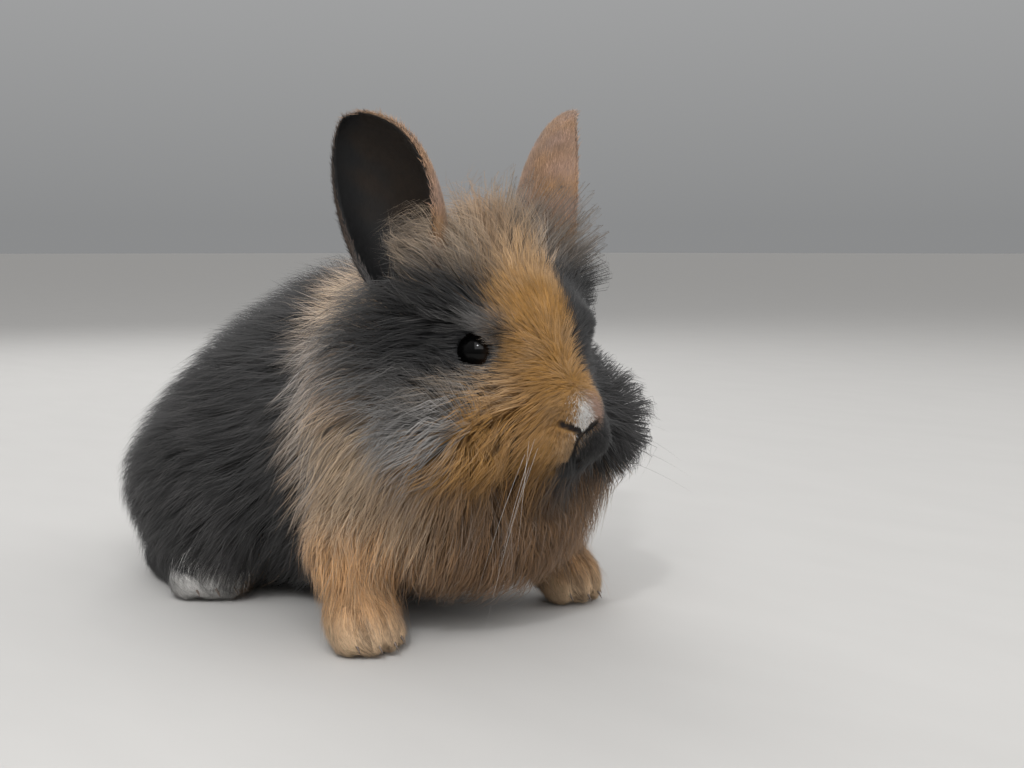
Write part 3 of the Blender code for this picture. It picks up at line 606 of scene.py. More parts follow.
def patchy(points, size, seed):
    """Soft random values from -1 to 1 that change over a size."""
    rng = np.random.default_rng(seed)
    total = np.zeros(len(points))
    for _ in range(6):
        way = unit(rng.normal(size=3)) / size * rng.uniform(0.6, 1.6)
        total += np.sin(points @ way * 2 * math.pi + rng.uniform(0, 2 * math.pi))
    return total / 3.2


print("palette of 10 colours, the darkest", BLACK)

# %% Colour at a place


def body_colour(points):
    """Slate body with a fawn mane, whitish where it ends, in front of a soft border."""
    x, y, z = points.T
    border = np.interp(z, (20, 35, 71, 84, 102), (46, 43, 38, 49, 57)) + 3 * patchy(points, 22, 1)
    aside = ramp(np.abs(x), 22, 44)
    cream = 0.3 + 0.5 * aside + 0.4 * patchy(points, 24, 2)
    fur = over(FAWN, CREAM, np.clip(cream, 0, 1))
    # Rust low on the front of the chest: partly the chest's own colour, partly painted shade under the head.
    fur = over(fur, RUST, 0.95 * (1 - ramp(z, 34, 66)) * (1 - aside))
    fur = over(fur, RUST, 0.45 * aside * (1 - ramp(z, 22, 38)))
    fur = over(fur, CREAM, 0.35 * aside * (1 - ramp(z, 40, 62)))
    fur = over(fur, GREY * 1.2, 0.55 * aside * ramp(z, 58, 76))
    edge = spot((y - border, -9, 10)) * ramp(z, 14, 40)
    fur = over(fur, SILVER * 1.35, np.clip(0.7 * edge + 0.25 * patchy(points, 12, 3), 0, 0.9))
    nape = spot((y, 40, 11), (z, 100, 10))
    fur = over(fur, CREAM * 1.35, 0.95 * nape)
    colour = over(SLATE, GREY, 0.4 * ramp(patchy(points, 18, 4), 0.0, 1.0))
    return over(colour, fur, 1 - ramp(y, border - 3.5, border + 3.5))


RIGHT_HEIGHTS = (-46, -33, -27.5, -21, -13, -6.5, -3.4, 3, 11, 20, 30, 41)
BLAZE_RIGHT = (-38, -41, -40, -36, -32.8, -26, -18.5, -16, -16.2, -15.6, -14, -11)  # border on its right side
LEFT_HEIGHTS = (-46, -33, -24, -21, -18.5, -12, -7, -1, 9, 19.4, 33, 46)
BLAZE_LEFT = (-4, -3, -2.4, -1.5, 5, 8, 9, 4.5, 3.6, 4.5, 11, 7)
CHEEK_HEIGHTS = (-46, -40, -32, -25, -16, -6, 4, 14, 30)
CHEEK_END = (0, 6, 13, 21, 26, 34, 45, 48, 42)  # where the grey cheek gives way to the mane
PATCH_HEIGHTS = (-22.3, -20, -17, -12)
PATCH_RIGHT, PATCH_LEFT = (-2.3, -4.0, -3.7, -3.0), (-2.1, -0.4, 1.2, 0.3)  # of the pale patch on the nose


def head_colour(points):
    """Blaze, dark rings, grey right side, black left cheek, pale nose."""
    x, y, z = in_head(points).T
    wave = patchy(points, 13, 5)
    fine = patchy(points, 5, 6)
    grey = over(SLATE * 0.7, SILVER, 0.5 * (1 - ramp(z + 4 * wave, -22, -4)))
    cheek = 0.25 * ramp(y + 3 * wave, 2, 18) * (1 - ramp(z, -8, 4))
    grey = over(grey, SILVER, cheek + 0.25 * ramp(y, 24, 36))
    right = np.interp(z, RIGHT_HEIGHTS, BLAZE_RIGHT) + 1.6 * wave + 0.8 * fine
    left = np.interp(z, LEFT_HEIGHTS, BLAZE_LEFT) + 0.5 * wave
    grey = over(grey, CREAM * 0.6, 0.5 * spot((z, -8, 4)) * (x < 0) * (1 - ramp(y, -4, 6)))
    streak = spot((right - x, 4, 4.5)) * (1 - ramp(z, -8, -3))
    grey = over(grey, SILVER * 1.3, 0.5 * streak)
    band = spot((z, 3, 8)) * ramp(y, -8, 0) * (1 - ramp(y, 20, 34)) * (x < 0)
    grey = over(grey, BLACK, 0.95 * band)
    soft = 3.0 + 4.0 * ramp(z, 6, 34)
    blaze = ramp(x, right - soft, right + soft) * (1 - ramp(x, left - 1.5, left + 1.5))
    blaze = blaze * (1 - ramp(y, 2, 14)) * (1 - 0.5 * ramp(z, 30, 44))
    cream = 0.06 + 0.15 * wave + 0.12 * fine + 0.55 * ramp(z, 16, 36)
    warm = over(AMBER, CREAM, np.clip(cream, 0, 0.75))
    warm = over(warm, RUST, 0.25 * spot((x, -11, 8), (z, -18, 6)))
    warm = over(warm, RUST, 0.4 * (1 - ramp(z, -42, -31)))
    warm = over(warm, CREAM, 0.5 * spot((x, -22, 7), (z, -9, 5)))
    colour = over(grey, warm, blaze)
    crown = ramp(z, 22, 36) * (1 - blaze)
    cream = (1 - 0.6 * ramp(x, 2, 14)) * np.clip(0.6 + 0.25 * fine, 0, 1)
    mixed = over(GREY, CREAM, cream)
    mixed = over(mixed, FAWN, 0.55 * spot((x, -7, 8)))
    colour = over(colour, mixed, crown * 0.85)
    colour = over(colour, SILVER * 1.3, 0.45 * spot((x, 9, 4), (z, 33, 8)))
    dark = ramp(x, left, left + 1.5) * (1 - ramp(z, 18, 34)) * (1 - ramp(y, 8, 30))
    colour = over(colour, BLACK, 0.96 * dark)
    colour = over(colour, GREY, 0.3 * ramp(x, 20, 34) * (1 - ramp(z, -4, 4)))
    return nose_marks(eye_rings(colour, points), x, y, z)


def eye_rings(colour, points):
    """Dark rings round both eyes, and a silver brow and corner at the right one."""
    for side in (1, -1):
        off = points - EYE_AT[side] - EYE_AXIS[side] * 6
        ring = np.linalg.norm(off, axis=1)
        colour = over(colour, BLACK * 1.5, 0.8 * (1 - ramp(ring, 6.5, 11)) * ramp(off[:, 1], -5, 2))
    # the right eye was the last of the two
    brow = spot((off[:, 2], 9.5, 2.4), (off[:, 1], -2, 6)) * (ring < 16)
    colour = over(colour, SILVER, 0.45 * brow)
    return over(colour, SILVER, 0.6 * (1 - ramp(ring, 6.5, 10)) * (1 - ramp(off[:, 1], -5, -1)))


def nose_marks(colour, x, y, z):
    """White patch with pink beside it on the nose, a pale lip with a painted highlight, a slate chin with
    painted shade.
    """
    front = 1 - ramp(y, -26, -23)
    aside, beyond = np.interp(z, PATCH_HEIGHTS, PATCH_RIGHT), np.interp(z, PATCH_HEIGHTS, PATCH_LEFT)
    tall = ramp(z, -23, -21.8) * (1 - ramp(z, -12.6, -10.8)) * front
    pale = ramp(x, aside - 0.5, aside + 0.3) * (1 - ramp(x, beyond - 0.4, beyond + 0.5)) * tall
    beside = ramp(x, beyond - 0.4, beyond + 0.6) * (1 - ramp(x, 5, 7))
    colour = over(colour, PINK, 0.9 * beside * ramp(z, -19, -17) * (1 - ramp(z, -12, -9)) * front)
    colour = over(colour, WHITE * 1.2, pale)
    # Cream on the right lip: partly its pale fur, partly a painted highlight on the bulge of the lip.
    lip = spot((x, -6, 3.2), (z, -25, 3.2)) * (1 - ramp(y, -22, -16))
    colour = over(colour, CREAM, 0.5 * lip)
    # Slate on the chin: partly its dark fur, partly painted shade under the mouth.
    chin = (1 - ramp(y, -20, -10)) * (1 - ramp(z, -31, -28)) * ramp(x, -9, -2)
    return over(colour, SLATE, 0.8 * chin)


def coat_colour(points):
    """Markings of the whole rabbit: the head's end by place on it, the feet by how near they are, and painted
    shade between the toes.
    """
    parts = groups(points, 0.0)
    colour = body_colour(points)
    x, y, z = points.T
    _, back, high = in_head(points).T
    end = np.interp(high, CHEEK_HEIGHTS, CHEEK_END) + 2.5 * patchy(points, 16, 12)
    head = (1 - ramp(back, end - 4, end + 4)) * ramp(high, -50, -38)
    colour = over(colour, head_colour(points), head)
    # Pale fawn and cream on the fore paws: partly their own fur, partly painted light from the front.
    paw = over(FAWN * 1.5, CREAM * 1.45, 0.75 * (1 - ramp(z, 4, 16)))
    colour = over(colour, paw, (1 - ramp(parts[6], 0.5, 3)) * (1 - ramp(z, 24, 38)))
    toes = (1 - ramp(y, 90, 99)) * (1 - ramp(z, 7, 11))
    foot = over(SLATE * 1.3, WHITE, toes)
    foot = over(foot, FAWN, toes * (1 - ramp(np.abs(x), 39, 41)))
    colour = over(colour, foot, 1 - ramp(parts[5], 0.5, 3))
    # Painted shade in the gaps between the toes.
    return colour * (1 - 0.75 * np.clip(1.6 * toe_gaps(points), 0, 1))[:, None]


print("colour of a flank:", np.round(coat_colour(np.array([[-50.0, 100, 50]])), 3))

# %% [markdown]
# ## The lie of the coat
#
# Hair on the face runs back from the nose, up over the crown and out over the cheeks. The mane falls back
# and down, the chest hangs, the flanks run back and down, the legs point down and the toes forwards. Each
# part has its own rule, and weights that fall off with distance blend them where the parts meet.

# %% Directions of the coat


def ways(points):
    """Direction in which a hair lies at each point, before it is laid on the skin."""
    local = in_head(points)
    away = unit(local - (0.0, -26.0, -6.0)) + (0, 0.25, -0.35)
    crown = np.stack((local[:, 0] * 0.035, np.full(len(local), 0.6), np.full(len(local), 0.75)), axis=1)
    up = ramp(local[:, 2], 2, 15)[:, None]
    head = unit(away * (1 - up) + crown * up) @ HEAD_TURN.T
    mane = unit(unit(points - EYES_MIDDLE) * (0.9, 1.0, 0.5) + (0, 0.25, -0.55))
    low = np.clip((95.0 - points[:, 2]) / 60.0, 0.0, 1.0)
    behind = np.clip((points[:, 1] - 110.0) / 50.0, 0.0, 1.0)
    level = np.zeros(len(points))
    flank = unit(np.stack((level, 1.0 - 0.6 * behind, -(0.25 + 0.75 * low + 0.9 * behind)), axis=1))
    chest = unit(np.stack((points[:, 0] * 0.008, level + 0.12, level - 1.0), axis=1))
    share = np.clip((points[:, 1] - 22.0) / 24.0, 0.0, 1.0)[:, None]
    torso = unit(chest * (1 - share) + flank * share)
    fore = unit(np.stack((level, -0.2 - 0.9 * (1 - ramp(points[:, 2], 4, 14)), level - 1.0), axis=1))
    hind = unit(np.stack((level, level - 1.0, level - 0.35), axis=1))
    total = np.zeros_like(points)
    for way, d in zip((head, mane, torso, flank, flank, hind, fore), groups(points, 0.0)):
        total += way * np.exp(-np.maximum(d + 3.0, 0.0) / 2.5)[:, None]
    return unit(total)


def laid(way, out):
    """A direction turned into the surface."""
    return unit(way - out * np.sum(way * out, axis=1, keepdims=True))


print("on the flank hair runs", np.round(ways(np.array([[-50.0, 90, 60]]))[0], 2))

# %% [markdown]
# ## Growing hair
#
# Real hair grows in small bundles whose tips cling together. So guide hairs come first, a few millimetres
# apart: each one leaves the skin, follows the lie and climbs through the coat to the outline. Every hair
# then follows its nearest guide, from its own root, and draws in towards it. A hair is a thin closed spike
# of three sides. Particle hair or curves would look the same here, but they would be lost when the model is
# used elsewhere.

# %% Places spread evenly over a mesh


def triangles_of(thing):
    """Corners of a piece's triangles on the rabbit's axes, and their loops."""
    mesh = thing.data
    mesh.calc_loop_triangles()
    count = len(mesh.loop_triangles)
    corners, loops = np.empty(count * 3, int), np.empty(count * 3, int)
    mesh.loop_triangles.foreach_get("vertices", corners)
    mesh.loop_triangles.foreach_get("loops", loops)
    return points_of(mesh)[corners].reshape(-1, 3, 3), loops.reshape(-1, 3)


def scatter(corners, density, seed):
    """Places spread over triangles, with a density in hairs for each square millimetre."""
    rng = np.random.default_rng(seed)
    normal = np.cross(corners[:, 1] - corners[:, 0], corners[:, 2] - corners[:, 0])
    heap = np.cumsum(np.linalg.norm(normal, axis=1) / 2 * density(corners.mean(axis=1)))
    count = int(heap[-1])
    picks = np.searchsorted(heap, (np.arange(count) + rng.random(count)) / count * heap[-1])
    picks = np.minimum(picks, len(heap) - 1)
    a, b = rng.random(count), rng.random(count)
    outside = a + b > 1
    a[outside], b[outside] = 1 - a[outside], 1 - b[outside]
    weights = np.stack((1 - a - b, a, b), axis=1)[:, :, None]
    return (corners[picks] * weights).sum(axis=1), unit(normal[picks])


def unwrap_places(thing, roots):
    """Where roots lie in a piece's own unwrap."""
    corners, loops = triangles_of(thing)
    faces = np.arange(corners.size // 3).reshape(-1, 3)
    tree = BVHTree.FromPolygons(corners.reshape(-1, 3).tolist(), faces.tolist())
    picks = np.array([tree.find_nearest(p)[2] for p in roots])
    a, b, c = corners[picks].transpose(1, 0, 2)
    across, aside, off = b - a, c - a, roots - a
    aa, bb, ab = (across**2).sum(1), (aside**2).sum(1), (across * aside).sum(1)
    pa, pb = (off * across).sum(1), (off * aside).sum(1)
    below = aa * bb - ab * ab + 1e-12
    u, v = np.clip((bb * pa - ab * pb) / below, 0, 1), np.clip((aa * pb - ab * pa) / below, 0, 1)
    unwrap = np.empty(len(thing.data.loops) * 2)
    thing.data.uv_layers["OFBake"].data.foreach_get("uv", unwrap)
    spots = unwrap.reshape(-1, 2)[loops[picks]]
    return spots[:, 0] + (spots[:, 1] - spots[:, 0]) * u[:, None] + (spots[:, 2] - spots[:, 0]) * v[:, None]


def unwrapped(thing):
    """Gives a piece an unwrap of its own shape."""
    bpy.context.view_layer.objects.active = thing
    thing.select_set(True)
    thing.data.uv_layers.new(name="OFBake")
    bpy.ops.object.mode_set(mode="EDIT")
    bpy.ops.mesh.select_all(action="SELECT")
    bpy.ops.uv.smart_project(angle_limit=math.radians(66), island_margin=0.002)
    bpy.ops.object.mode_set(mode="OBJECT")
    thing.select_set(False)


for thing in (skin_piece, *ears.values()):
    unwrapped(thing)
print("unwrapped", len(skin_piece.data.loops), "corners of skin")

# %% Guides: the line of each bundle, from the skin to the outline
SPANS = 5  # straight lengths in a guide's line
STATIONS = np.linspace(0, 1, SPANS + 1)
LOWEST = 0.4


def coat_depth(outer):
    """Depth of the coat under a place on the outline."""
    return np.maximum(bare_skin(outer), 0.3)


def hair_length(outer):
    """Length of the hair under a place on the outline, shortest round the nose and the mouth."""
    nose = np.linalg.norm(outer - from_head((0, -27, -19)), axis=1)
    short = coat_depth(outer) < 6
    local = in_head(outer)
    beard = 1 + 1.4 * (1 - ramp(local[:, 2], -32, -25)) * short
    pad = 7.0 * ramp(nose, 9, 17) * short * (1 - ramp(local[:, 2], -13, -7)) * (1 - ramp(local[:, 1], 0, 8))
    return (1.3 + 1.65 * coat_depth(outer)) * (0.32 + 0.68 * ramp(nose, 5, 18)) * beard + pad


def lack_of_cover(outer, lengths):
    """1 where the hair upstream is too short to cover a place, so that its own hair has to stand up."""
    way = laid(ways(outer), slope(body, outer))
    upstream = to_surface(body, outer - way * (0.8 * lengths)[:, None], steps=2)
    return np.clip(1.2 - coat_depth(upstream) / coat_depth(outer), 0, 1)


def guides(outer, lengths, seed, curl):
    """Lines along the outline that follow the lie of the coat."""
    rng = np.random.default_rng(seed)
    count = len(outer)
    lengths = lengths * rng.uniform(0.85, 1.15, count)
    swerve = rng.uniform(-1, 1, count) * curl
    bend = rng.uniform(-1, 1, count) * curl
    here = outer.copy()
    line = [here]
    for before, t in zip(STATIONS[:-1], STATIONS[1:]):
        out = slope(body, here)
        way = laid(ways(here), out)
        way = unit(way + np.cross(way, out) * (swerve + bend * t)[:, None])
        here = to_surface(body, here + way * (lengths * (t - before))[:, None], steps=2)
        line.append(here)
    return np.stack(line, axis=1), lengths


print("hair on the back:", round(float(hair_length(np.array([[0, 64.0, 102.0]]))[0]), 1), "mm")

# %% Hairs: spikes of three sides along their bundle's line


def hair_width(length):
    """A longer hair is a little thicker at its root."""
    return 0.15 + 0.0045 * length


def spikes(centre, roll, wide, high):
    """Spikes round the line of each hair: sections of three points, and a tip."""
    sections = centre.shape[1] - 1
    ahead = unit(np.gradient(centre, axis=1))
    across = unit(np.cross(ahead, roll))
    up = np.cross(across, ahead)
    points = np.empty((len(centre), 3 * sections + 1, 3))
    for i in range(sections):
        half = (wide / 2 * (1 - 0.85 * (i / sections) ** 1.6))[:, None]
        points[:, 3 * i] = centre[:, i] - across[:, i] * half
        points[:, 3 * i + 1] = centre[:, i] + up[:, i] * half * high
        points[:, 3 * i + 2] = centre[:, i] + across[:, i] * half
    points[:, -1] = centre[:, -1]
    return points


def hairs(outer, out, roots, lines, lack, guide_outer, lengths, settings, seed):
    """Points of every hair, from its root up to the outline and along it, and the guide that it follows."""
    rng = np.random.default_rng(seed)
    sections, clump, stray = settings
    tree = KDTree(len(guide_outer))
    for i, p in enumerate(guide_outer):
        tree.insert(p, i)
    tree.balance()
    mine = np.array([tree.find(p)[1] for p in outer])
    count = len(outer)
    steep = (1.7 + 3.0 * lack[mine])[:, None]
    rise = rng.uniform(0.8, 1.22, count)
    stretch = rng.uniform(0.62, 1.12, count)
    local = in_head(outer)
    crown = ramp(local[:, 2], 18, 34) * (lengths[mine] > 12)
    fluff = ramp(local[:, 0], 4, 10) * ramp(local[:, 2], 8, 18) * (1 - ramp(local[:, 1], 20, 30))
    fluff = fluff * (lengths[mine] > 8)
    loose = rng.random(count) < 0.10 + 0.25 * crown + 0.3 * fluff
    rise = np.where(loose, rng.uniform(1.05, 1.25 + 0.45 * crown + 0.5 * fluff), rise)[:, None]
    stretch = np.where(loose, rng.uniform(1.05, 1.3, count), stretch)
    side = outer - guide_outer[mine]
    down = roots - outer
    drift = laid(rng.normal(size=(count, 3)), out)
    lift = out * (lengths[mine] * rng.uniform(-0.02, 0.09, count))[:, None]
    cling = np.clip(clump + rng.normal(size=count) * 0.18, 0, 0.97)
    guide = lines[mine]
    steps = np.arange(sections + 1) / sections
    rows = np.arange(count)
    centre = []
    for s in steps:
        t = np.clip(s * stretch, 0, 1.3)
        low = np.minimum((t * SPANS).astype(int), SPANS - 1)
        share = (t * SPANS - low)[:, None]
        on_line = guide[rows, low] * (1 - share) + guide[rows, low + 1] * share
        reach = (lengths[mine] * stray * s**1.5)[:, None]
        want = rise * (1 - (1 - np.minimum(t, 1.0))[:, None] ** steep)
        apart = side * (1 - (cling * t**0.8)[:, None])
        centre.append(on_line + apart + down * (1 - want) + drift * reach + lift * s * s)
    centre = np.stack(centre, axis=1)
    centre[:, :, 2] = np.maximum(centre[:, :, 2], LOWEST + 0.8 * (1 - steps))
    roll = rng.normal(size=(count, 1, 3)) * 0.5 + out[:, None, :]
    wide = hair_width(lengths[mine]) * rng.uniform(0.7, 1.3, count) * np.where(loose, 0.6, 1.0)
    return spikes(centre, roll, wide, 0.7), mine


def spike_faces(sections):
    """Faces of one spike, wound outwards."""
    faces = [(0, 1, 2)]
    for i in range(sections - 1):
        for j in range(3):
            a, b = 3 * i + j, 3 * i + (j + 1) % 3
            faces += [(a, a + 3, b + 3), (a, b + 3, b)]
    last = 3 * (sections - 1)
    faces += [(last + j, 3 * sections, last + (j + 1) % 3) for j in range(3)]
    return np.array(faces)[:, ::-1]


print("a spike of four sections has", len(spike_faces(4)), "faces")

# %% Joined mesh of many hairs, with colours and unwrap
PATCH = 0.0026  # side of the patch that a hair takes in the unwrap
SOFTNESS = 0.78  # how far a hair takes its shading from the body below it


def colour_points(mesh, colours):
    """Keeps a colour for each point, which the materials read."""
    layer = mesh.attributes.new("coat", "FLOAT_COLOR", "POINT")
    layer.data.foreach_set("color", np.column_stack((colours, np.ones(len(colours)))).ravel())


def coat_piece(name, points, out, unwrap, colours, sections):
    """One piece of coat: spikes in one mesh, coloured from root to tip, shaded softly with the body."""
    count, each, _ = points.shape
    faces = (spike_faces(sections)[None] + (np.arange(count) * each)[:, None, None]).reshape(-1, 3)
    mesh = bpy.data.meshes.new(name)
    mesh.vertices.add(count * each)
    mesh.vertices.foreach_set("co", into_frame(points.reshape(-1, 3)).ravel())
    mesh.loops.add(faces.size)
    mesh.loops.foreach_set("vertex_index", faces.ravel())
    mesh.polygons.add(len(faces))
    mesh.polygons.foreach_set("loop_start", np.arange(0, faces.size, 3))
    mesh.polygons.foreach_set("loop_total", np.full(len(faces), 3))
    mesh.update(calc_edges=True)
    colour_points(mesh, colours.reshape(-1, 3))
    across = np.array([(-0.5, 0.0, 0.5)[i % 3] for i in range(each - 1)] + [0.0])
    along = np.array([i // 3 for i in range(each - 1)] + [sections]) / sections - 0.5
    spots = unwrap[:, None, :] + np.stack((across, along), axis=1)[None] * PATCH
    layer = mesh.uv_layers.new(name="OFBake")
    layer.data.foreach_set("uv", spots.reshape(-1, 2)[faces.ravel()].ravel())
    mesh.shade_smooth()
    own = np.empty(count * each * 3)
    mesh.vertices.foreach_get("normal", own)
    soft = unit(own.reshape(-1, 3) * (1 - SOFTNESS) + np.repeat(out, each, axis=0) * SOFTNESS)
    mesh.normals_split_custom_set_from_vertices(soft.tolist())
    return placed(name, mesh)


print("patch of a hair:", PATCH)

# %% [markdown]
# ## The coats
#
# Plush covers the face and the feet, longer hair the body, and the longest the mane, the crown and the
# rump. A short hair needs one section and a long one three, to bend. Each hair has its own shade: darker at
# the root, partly its own colour and partly painted shade deep in the coat, paler towards the tip, with
# silver hairs among the dark ones and sooty ones among the pale. The pieces stay small enough to be handled
# one by one.

# %% Which hair grows where
PLUSH, MIDDLE, LONG = 1, 2, 3  # kinds of hair, and the sections of each hair
MOST_TRIANGLES = 190000  # in one piece
THIN = 1.0
DEEP = {PLUSH: (-1.0, 3.0), MIDDLE: (3.0, 13.0), LONG: (13.0, 99.0)}  # depth of coat, in millimetres
LAYERS = {PLUSH: 3.2, MIDDLE: 3.4, LONG: 3.4}  # hairs that lie over each other at any place
LOWEST_PLACE = {PLUSH: 0.5, MIDDLE: 1.0, LONG: 3.0}  # no hair starts lower on the outline
RIM_REACH, RIM_ANGLE = 9.5, 7  # bare rims: millimetres from the middle of the eye, degrees past the opening


def not_on_eyes(points):
    """False on the eyes and the bare rims of their lids."""
    keep = np.ones(len(points), bool)
    for side in (1, -1):
        near = np.linalg.norm(points - EYE_AT[side], axis=1) < RIM_REACH
        keep &= ~(near & (lid_angle(points, side) < RIM_ANGLE))
    return keep


def density_of(kind):
    """Hairs for each square millimetre of outline, so that they lie in so many layers."""
    def density(outer):
        depth = bare_skin(outer)
        length = hair_length(outer)
        mine = (depth > DEEP[kind][0]) * (depth <= DEEP[kind][1]) * (outer[:, 2] > LOWEST_PLACE[kind])
        x, y, z = in_head(outer).T
        valley = spot((np.abs(x), 17, 6), (y, -17, 6), (z, -26, 6))
        return mine * LAYERS[kind] * (1 + 1.2 * valley) / (length * hair_width(length) * 0.55)
    return density


def shades(seen, mine, sections, seed):
    """Colours of every point of each hair, from a root darkened partly by painted shade to a paler tip."""
    rng = np.random.default_rng(seed)
    base = coat_colour(seen)
    dark = 1 - ramp(base.mean(axis=1), 0.04, 0.2)
    bundle = np.random.default_rng(5).normal(size=mine.max() + 1)[mine]
    uneven = rng.normal(size=len(seen)) * 0.11 + bundle * 0.06 + 0.08 * patchy(seen, 6, 40)
    base = base * np.exp(uneven)[:, None]
    sooty = (rng.random(len(seen)) < 0.16) * (1 - dark) * rng.uniform(0.15, 0.55, len(seen))
    base = over(base, GREY * 0.7, sooty)
    silver = (rng.random(len(seen)) < 0.06 + 0.10 * dark) * rng.uniform(0.1, 0.4, len(seen))
    tips = over(base * 1.08, SILVER, silver + 0.04)
    colours = np.empty((len(seen), 3 * sections + 1, 3))
    for i, s in enumerate(np.arange(sections + 1) / sections):
        # Darker at the root: partly the hair's own colour, partly painted shade deep in the coat.
        row = (base * (1 - s) + tips * s) * (0.78 + 0.27 * s)
        colours[:, 3 * i:3 * i + 3] = row[:, None]
    return np.clip(colours, 0.002, 0.95)


corners, _ = triangles_of(outline_piece)
pieces.remove(outline_piece)
bpy.data.objects.remove(outline_piece)
print("outline:", len(corners), "triangles")

# %% Grow the coat on the skin


def down_to_skin(outer, out):
    """Straight down from the outline to the skin."""
    roots = outer.copy()
    for _ in range(4):
        roots = roots - out * bare_skin(roots)[:, None]
    return roots


def grow(name, sections, clump, stray, spacing, curl, seed):
    """All hairs of one kind, cut into pieces along the body."""
    density = density_of(sections)

    def sparse(outer):
        return (density(outer) > 0) / (spacing * (1.2 + 0.22 * coat_depth(outer))) ** 2

    guide_outer = scatter(corners, sparse, seed)[0]
    lines, lengths = guides(guide_outer, hair_length(guide_outer), seed + 1, curl)
    lack = lack_of_cover(guide_outer, lengths)
    outer, out = scatter(corners, lambda p: density(p) * THIN, seed + 2)
    roots = down_to_skin(outer, out)
    keep = not_on_eyes(outer) & (face_lines(roots) < 0.5) & (toe_gaps(roots) < 0.6)
    outer, out, roots = outer[keep], out[keep], roots[keep]
    settings = (sections, clump, stray)
    points, mine = hairs(outer, out, roots, lines, lack, guide_outer, lengths, settings, seed + 3)
    middle = points[:, 3 * (sections // 2)] * 0.5 + points[:, -1] * 0.5
    clear = not_on_eyes(middle) & not_on_eyes(points[:, -1]) & (face_lines(points[:, -1]) < 0.6)
    points, out, roots, mine, middle = points[clear], out[clear], roots[clear], mine[clear], middle[clear]
    spots = unwrap_places(skin_piece, roots)
    middle += np.random.default_rng(seed + 5).normal(size=middle.shape) * (0.7 + 0.6 * sections)
    colours = shades(middle, mine, sections, seed + 4)
    order = np.argsort(middle[:, 1], kind="stable")
    count = math.ceil(len(order) * (6 * sections - 2) / MOST_TRIANGLES)
    made = []
    for i, part in enumerate(np.array_split(order, count)):
        made.append(coat_piece(f"{name}_{i + 1}", points[part], out[part], spots[part], colours[part],
                               sections))
    print(name, len(guide_outer), "guides", len(points), "hairs in", count, "pieces")
    return made


long_coat = grow("long_coat", LONG, 0.22, 0.075, 1.0, 0.2, 11)
middle_coat = grow("middle_coat", MIDDLE, 0.22, 0.075, 1.0, 0.2, 21)
plush = grow("plush", PLUSH, 0.2, 0.08, 0.9, 0.18, 31)

# %% [markdown]
# ## Hair on the ears
#
# An ear wears a down so short that each hair needs only one section. It could be left to a bump, but the
# edge of an ear stands against the light, where down shows. The hairs grow on the ear's own sheet, towards
# its tip.

# %% Down on both ears
EAR_HAIR, EAR_HAIR_WIDE = 2.4, 0.26
EAR_DENSITY = 4.6  # hairs for each square millimetre
EAR_SUNK = 7.0  # below this depth in the coat of the head no down grows


def ear_colour(points, side, cup):
    """Dark inside the cup, fawn outside, black along its outer edge."""
    x, _, z = in_head(points).T
    outside = over(FAWN, PINK, 0.4 + 0.3 * patchy(points, 12, 8))
    outer = side * x - np.interp(z, (14, 70), (18.5, 39.0))
    outside = over(outside, GREY, 0.16 + 0.1 * patchy(points, 7, 14))
    outside = over(outside, SLATE, 0.85 * ramp(outer, 3, 8) + 0.1 * ramp(z, 40, 66))
    outside = over(outside, GREY, 0.8 * (1 - ramp(z, 20, 31)))
    depth = -outer + 4 * patchy(points, 14, 9)
    within = over(BLACK * 0.6, RUST * 0.11, ramp(depth, -6, 6) * 0.8)
    return over(outside, within, cup)


def ear_hairs(side, tag):
    """Short spikes of one section all over an ear, laid towards its tip."""
    thing = ears[side]
    ear_corners, _ = triangles_of(thing)
    root, tip, along, front = ear_axes(side)
    tall = np.linalg.norm(tip - root)

    def density(points):
        return EAR_DENSITY * THIN * (body(points) > -EAR_SUNK)

    roots, normals = scatter(ear_corners, density, 50 + side)
    spots = unwrap_places(thing, roots)
    rng = np.random.default_rng(60 + side)
    count = len(roots)
    share = np.clip((roots - root) @ along / tall, 0, 1)
    middle = root + along * (share * tall)[:, None]
    cup = (np.sum(normals * (roots - middle - front * 4), axis=1) < 0).astype(float)
    way = laid(np.tile(along, (count, 1)) + 0.25 * rng.normal(size=(count, 3)), normals)
    length = EAR_HAIR * rng.uniform(0.7, 1.3, count) * (1.0 - 0.35 * cup)
    lift = rng.uniform(0.16, 0.36, count)
    centre = np.stack([roots + (way + normals * lift[:, None]) * (length * s)[:, None] - normals * 0.25
                       for s in (0, 1)], axis=1)
    roll = normals[:, None, :] + 0.4 * rng.normal(size=(count, 1, 3))
    points = spikes(centre, roll, EAR_HAIR_WIDE * rng.uniform(0.7, 1.3, count), 1.0)
    base = ear_colour(roots, side, cup) * np.exp(rng.normal(size=count) * 0.18)[:, None]
    colours = np.repeat(base[:, None], 4, axis=1)
    # Each hair of down darker at its root: partly its own colour, partly painted shade among the hairs.
    colours[:, :3] *= 0.75
    colours = np.clip(colours, 0.002, 0.9)
    return coat_piece("ear_coat_" + tag, points, normals, spots, colours, PLUSH), count


ear_coats = {}
for side, tag in ((1, "left"), (-1, "right")):
    ear_coats[side], count = ear_hairs(side, tag)
    print("ear", tag, count, "hairs")

# %% [markdown]
# ## Eyes
#
# A rabbit's eye is large, set on the side of the head and nearly black, with a brown iris round a wide
# pupil. Its clear front bulges a little out of the ball, and catches the light. A plain sphere lacks that
# bulge, so the ball is turned from rings whose radius grows towards the front, and keeps for each point how
# far forwards it lies.

# %% Eyeballs


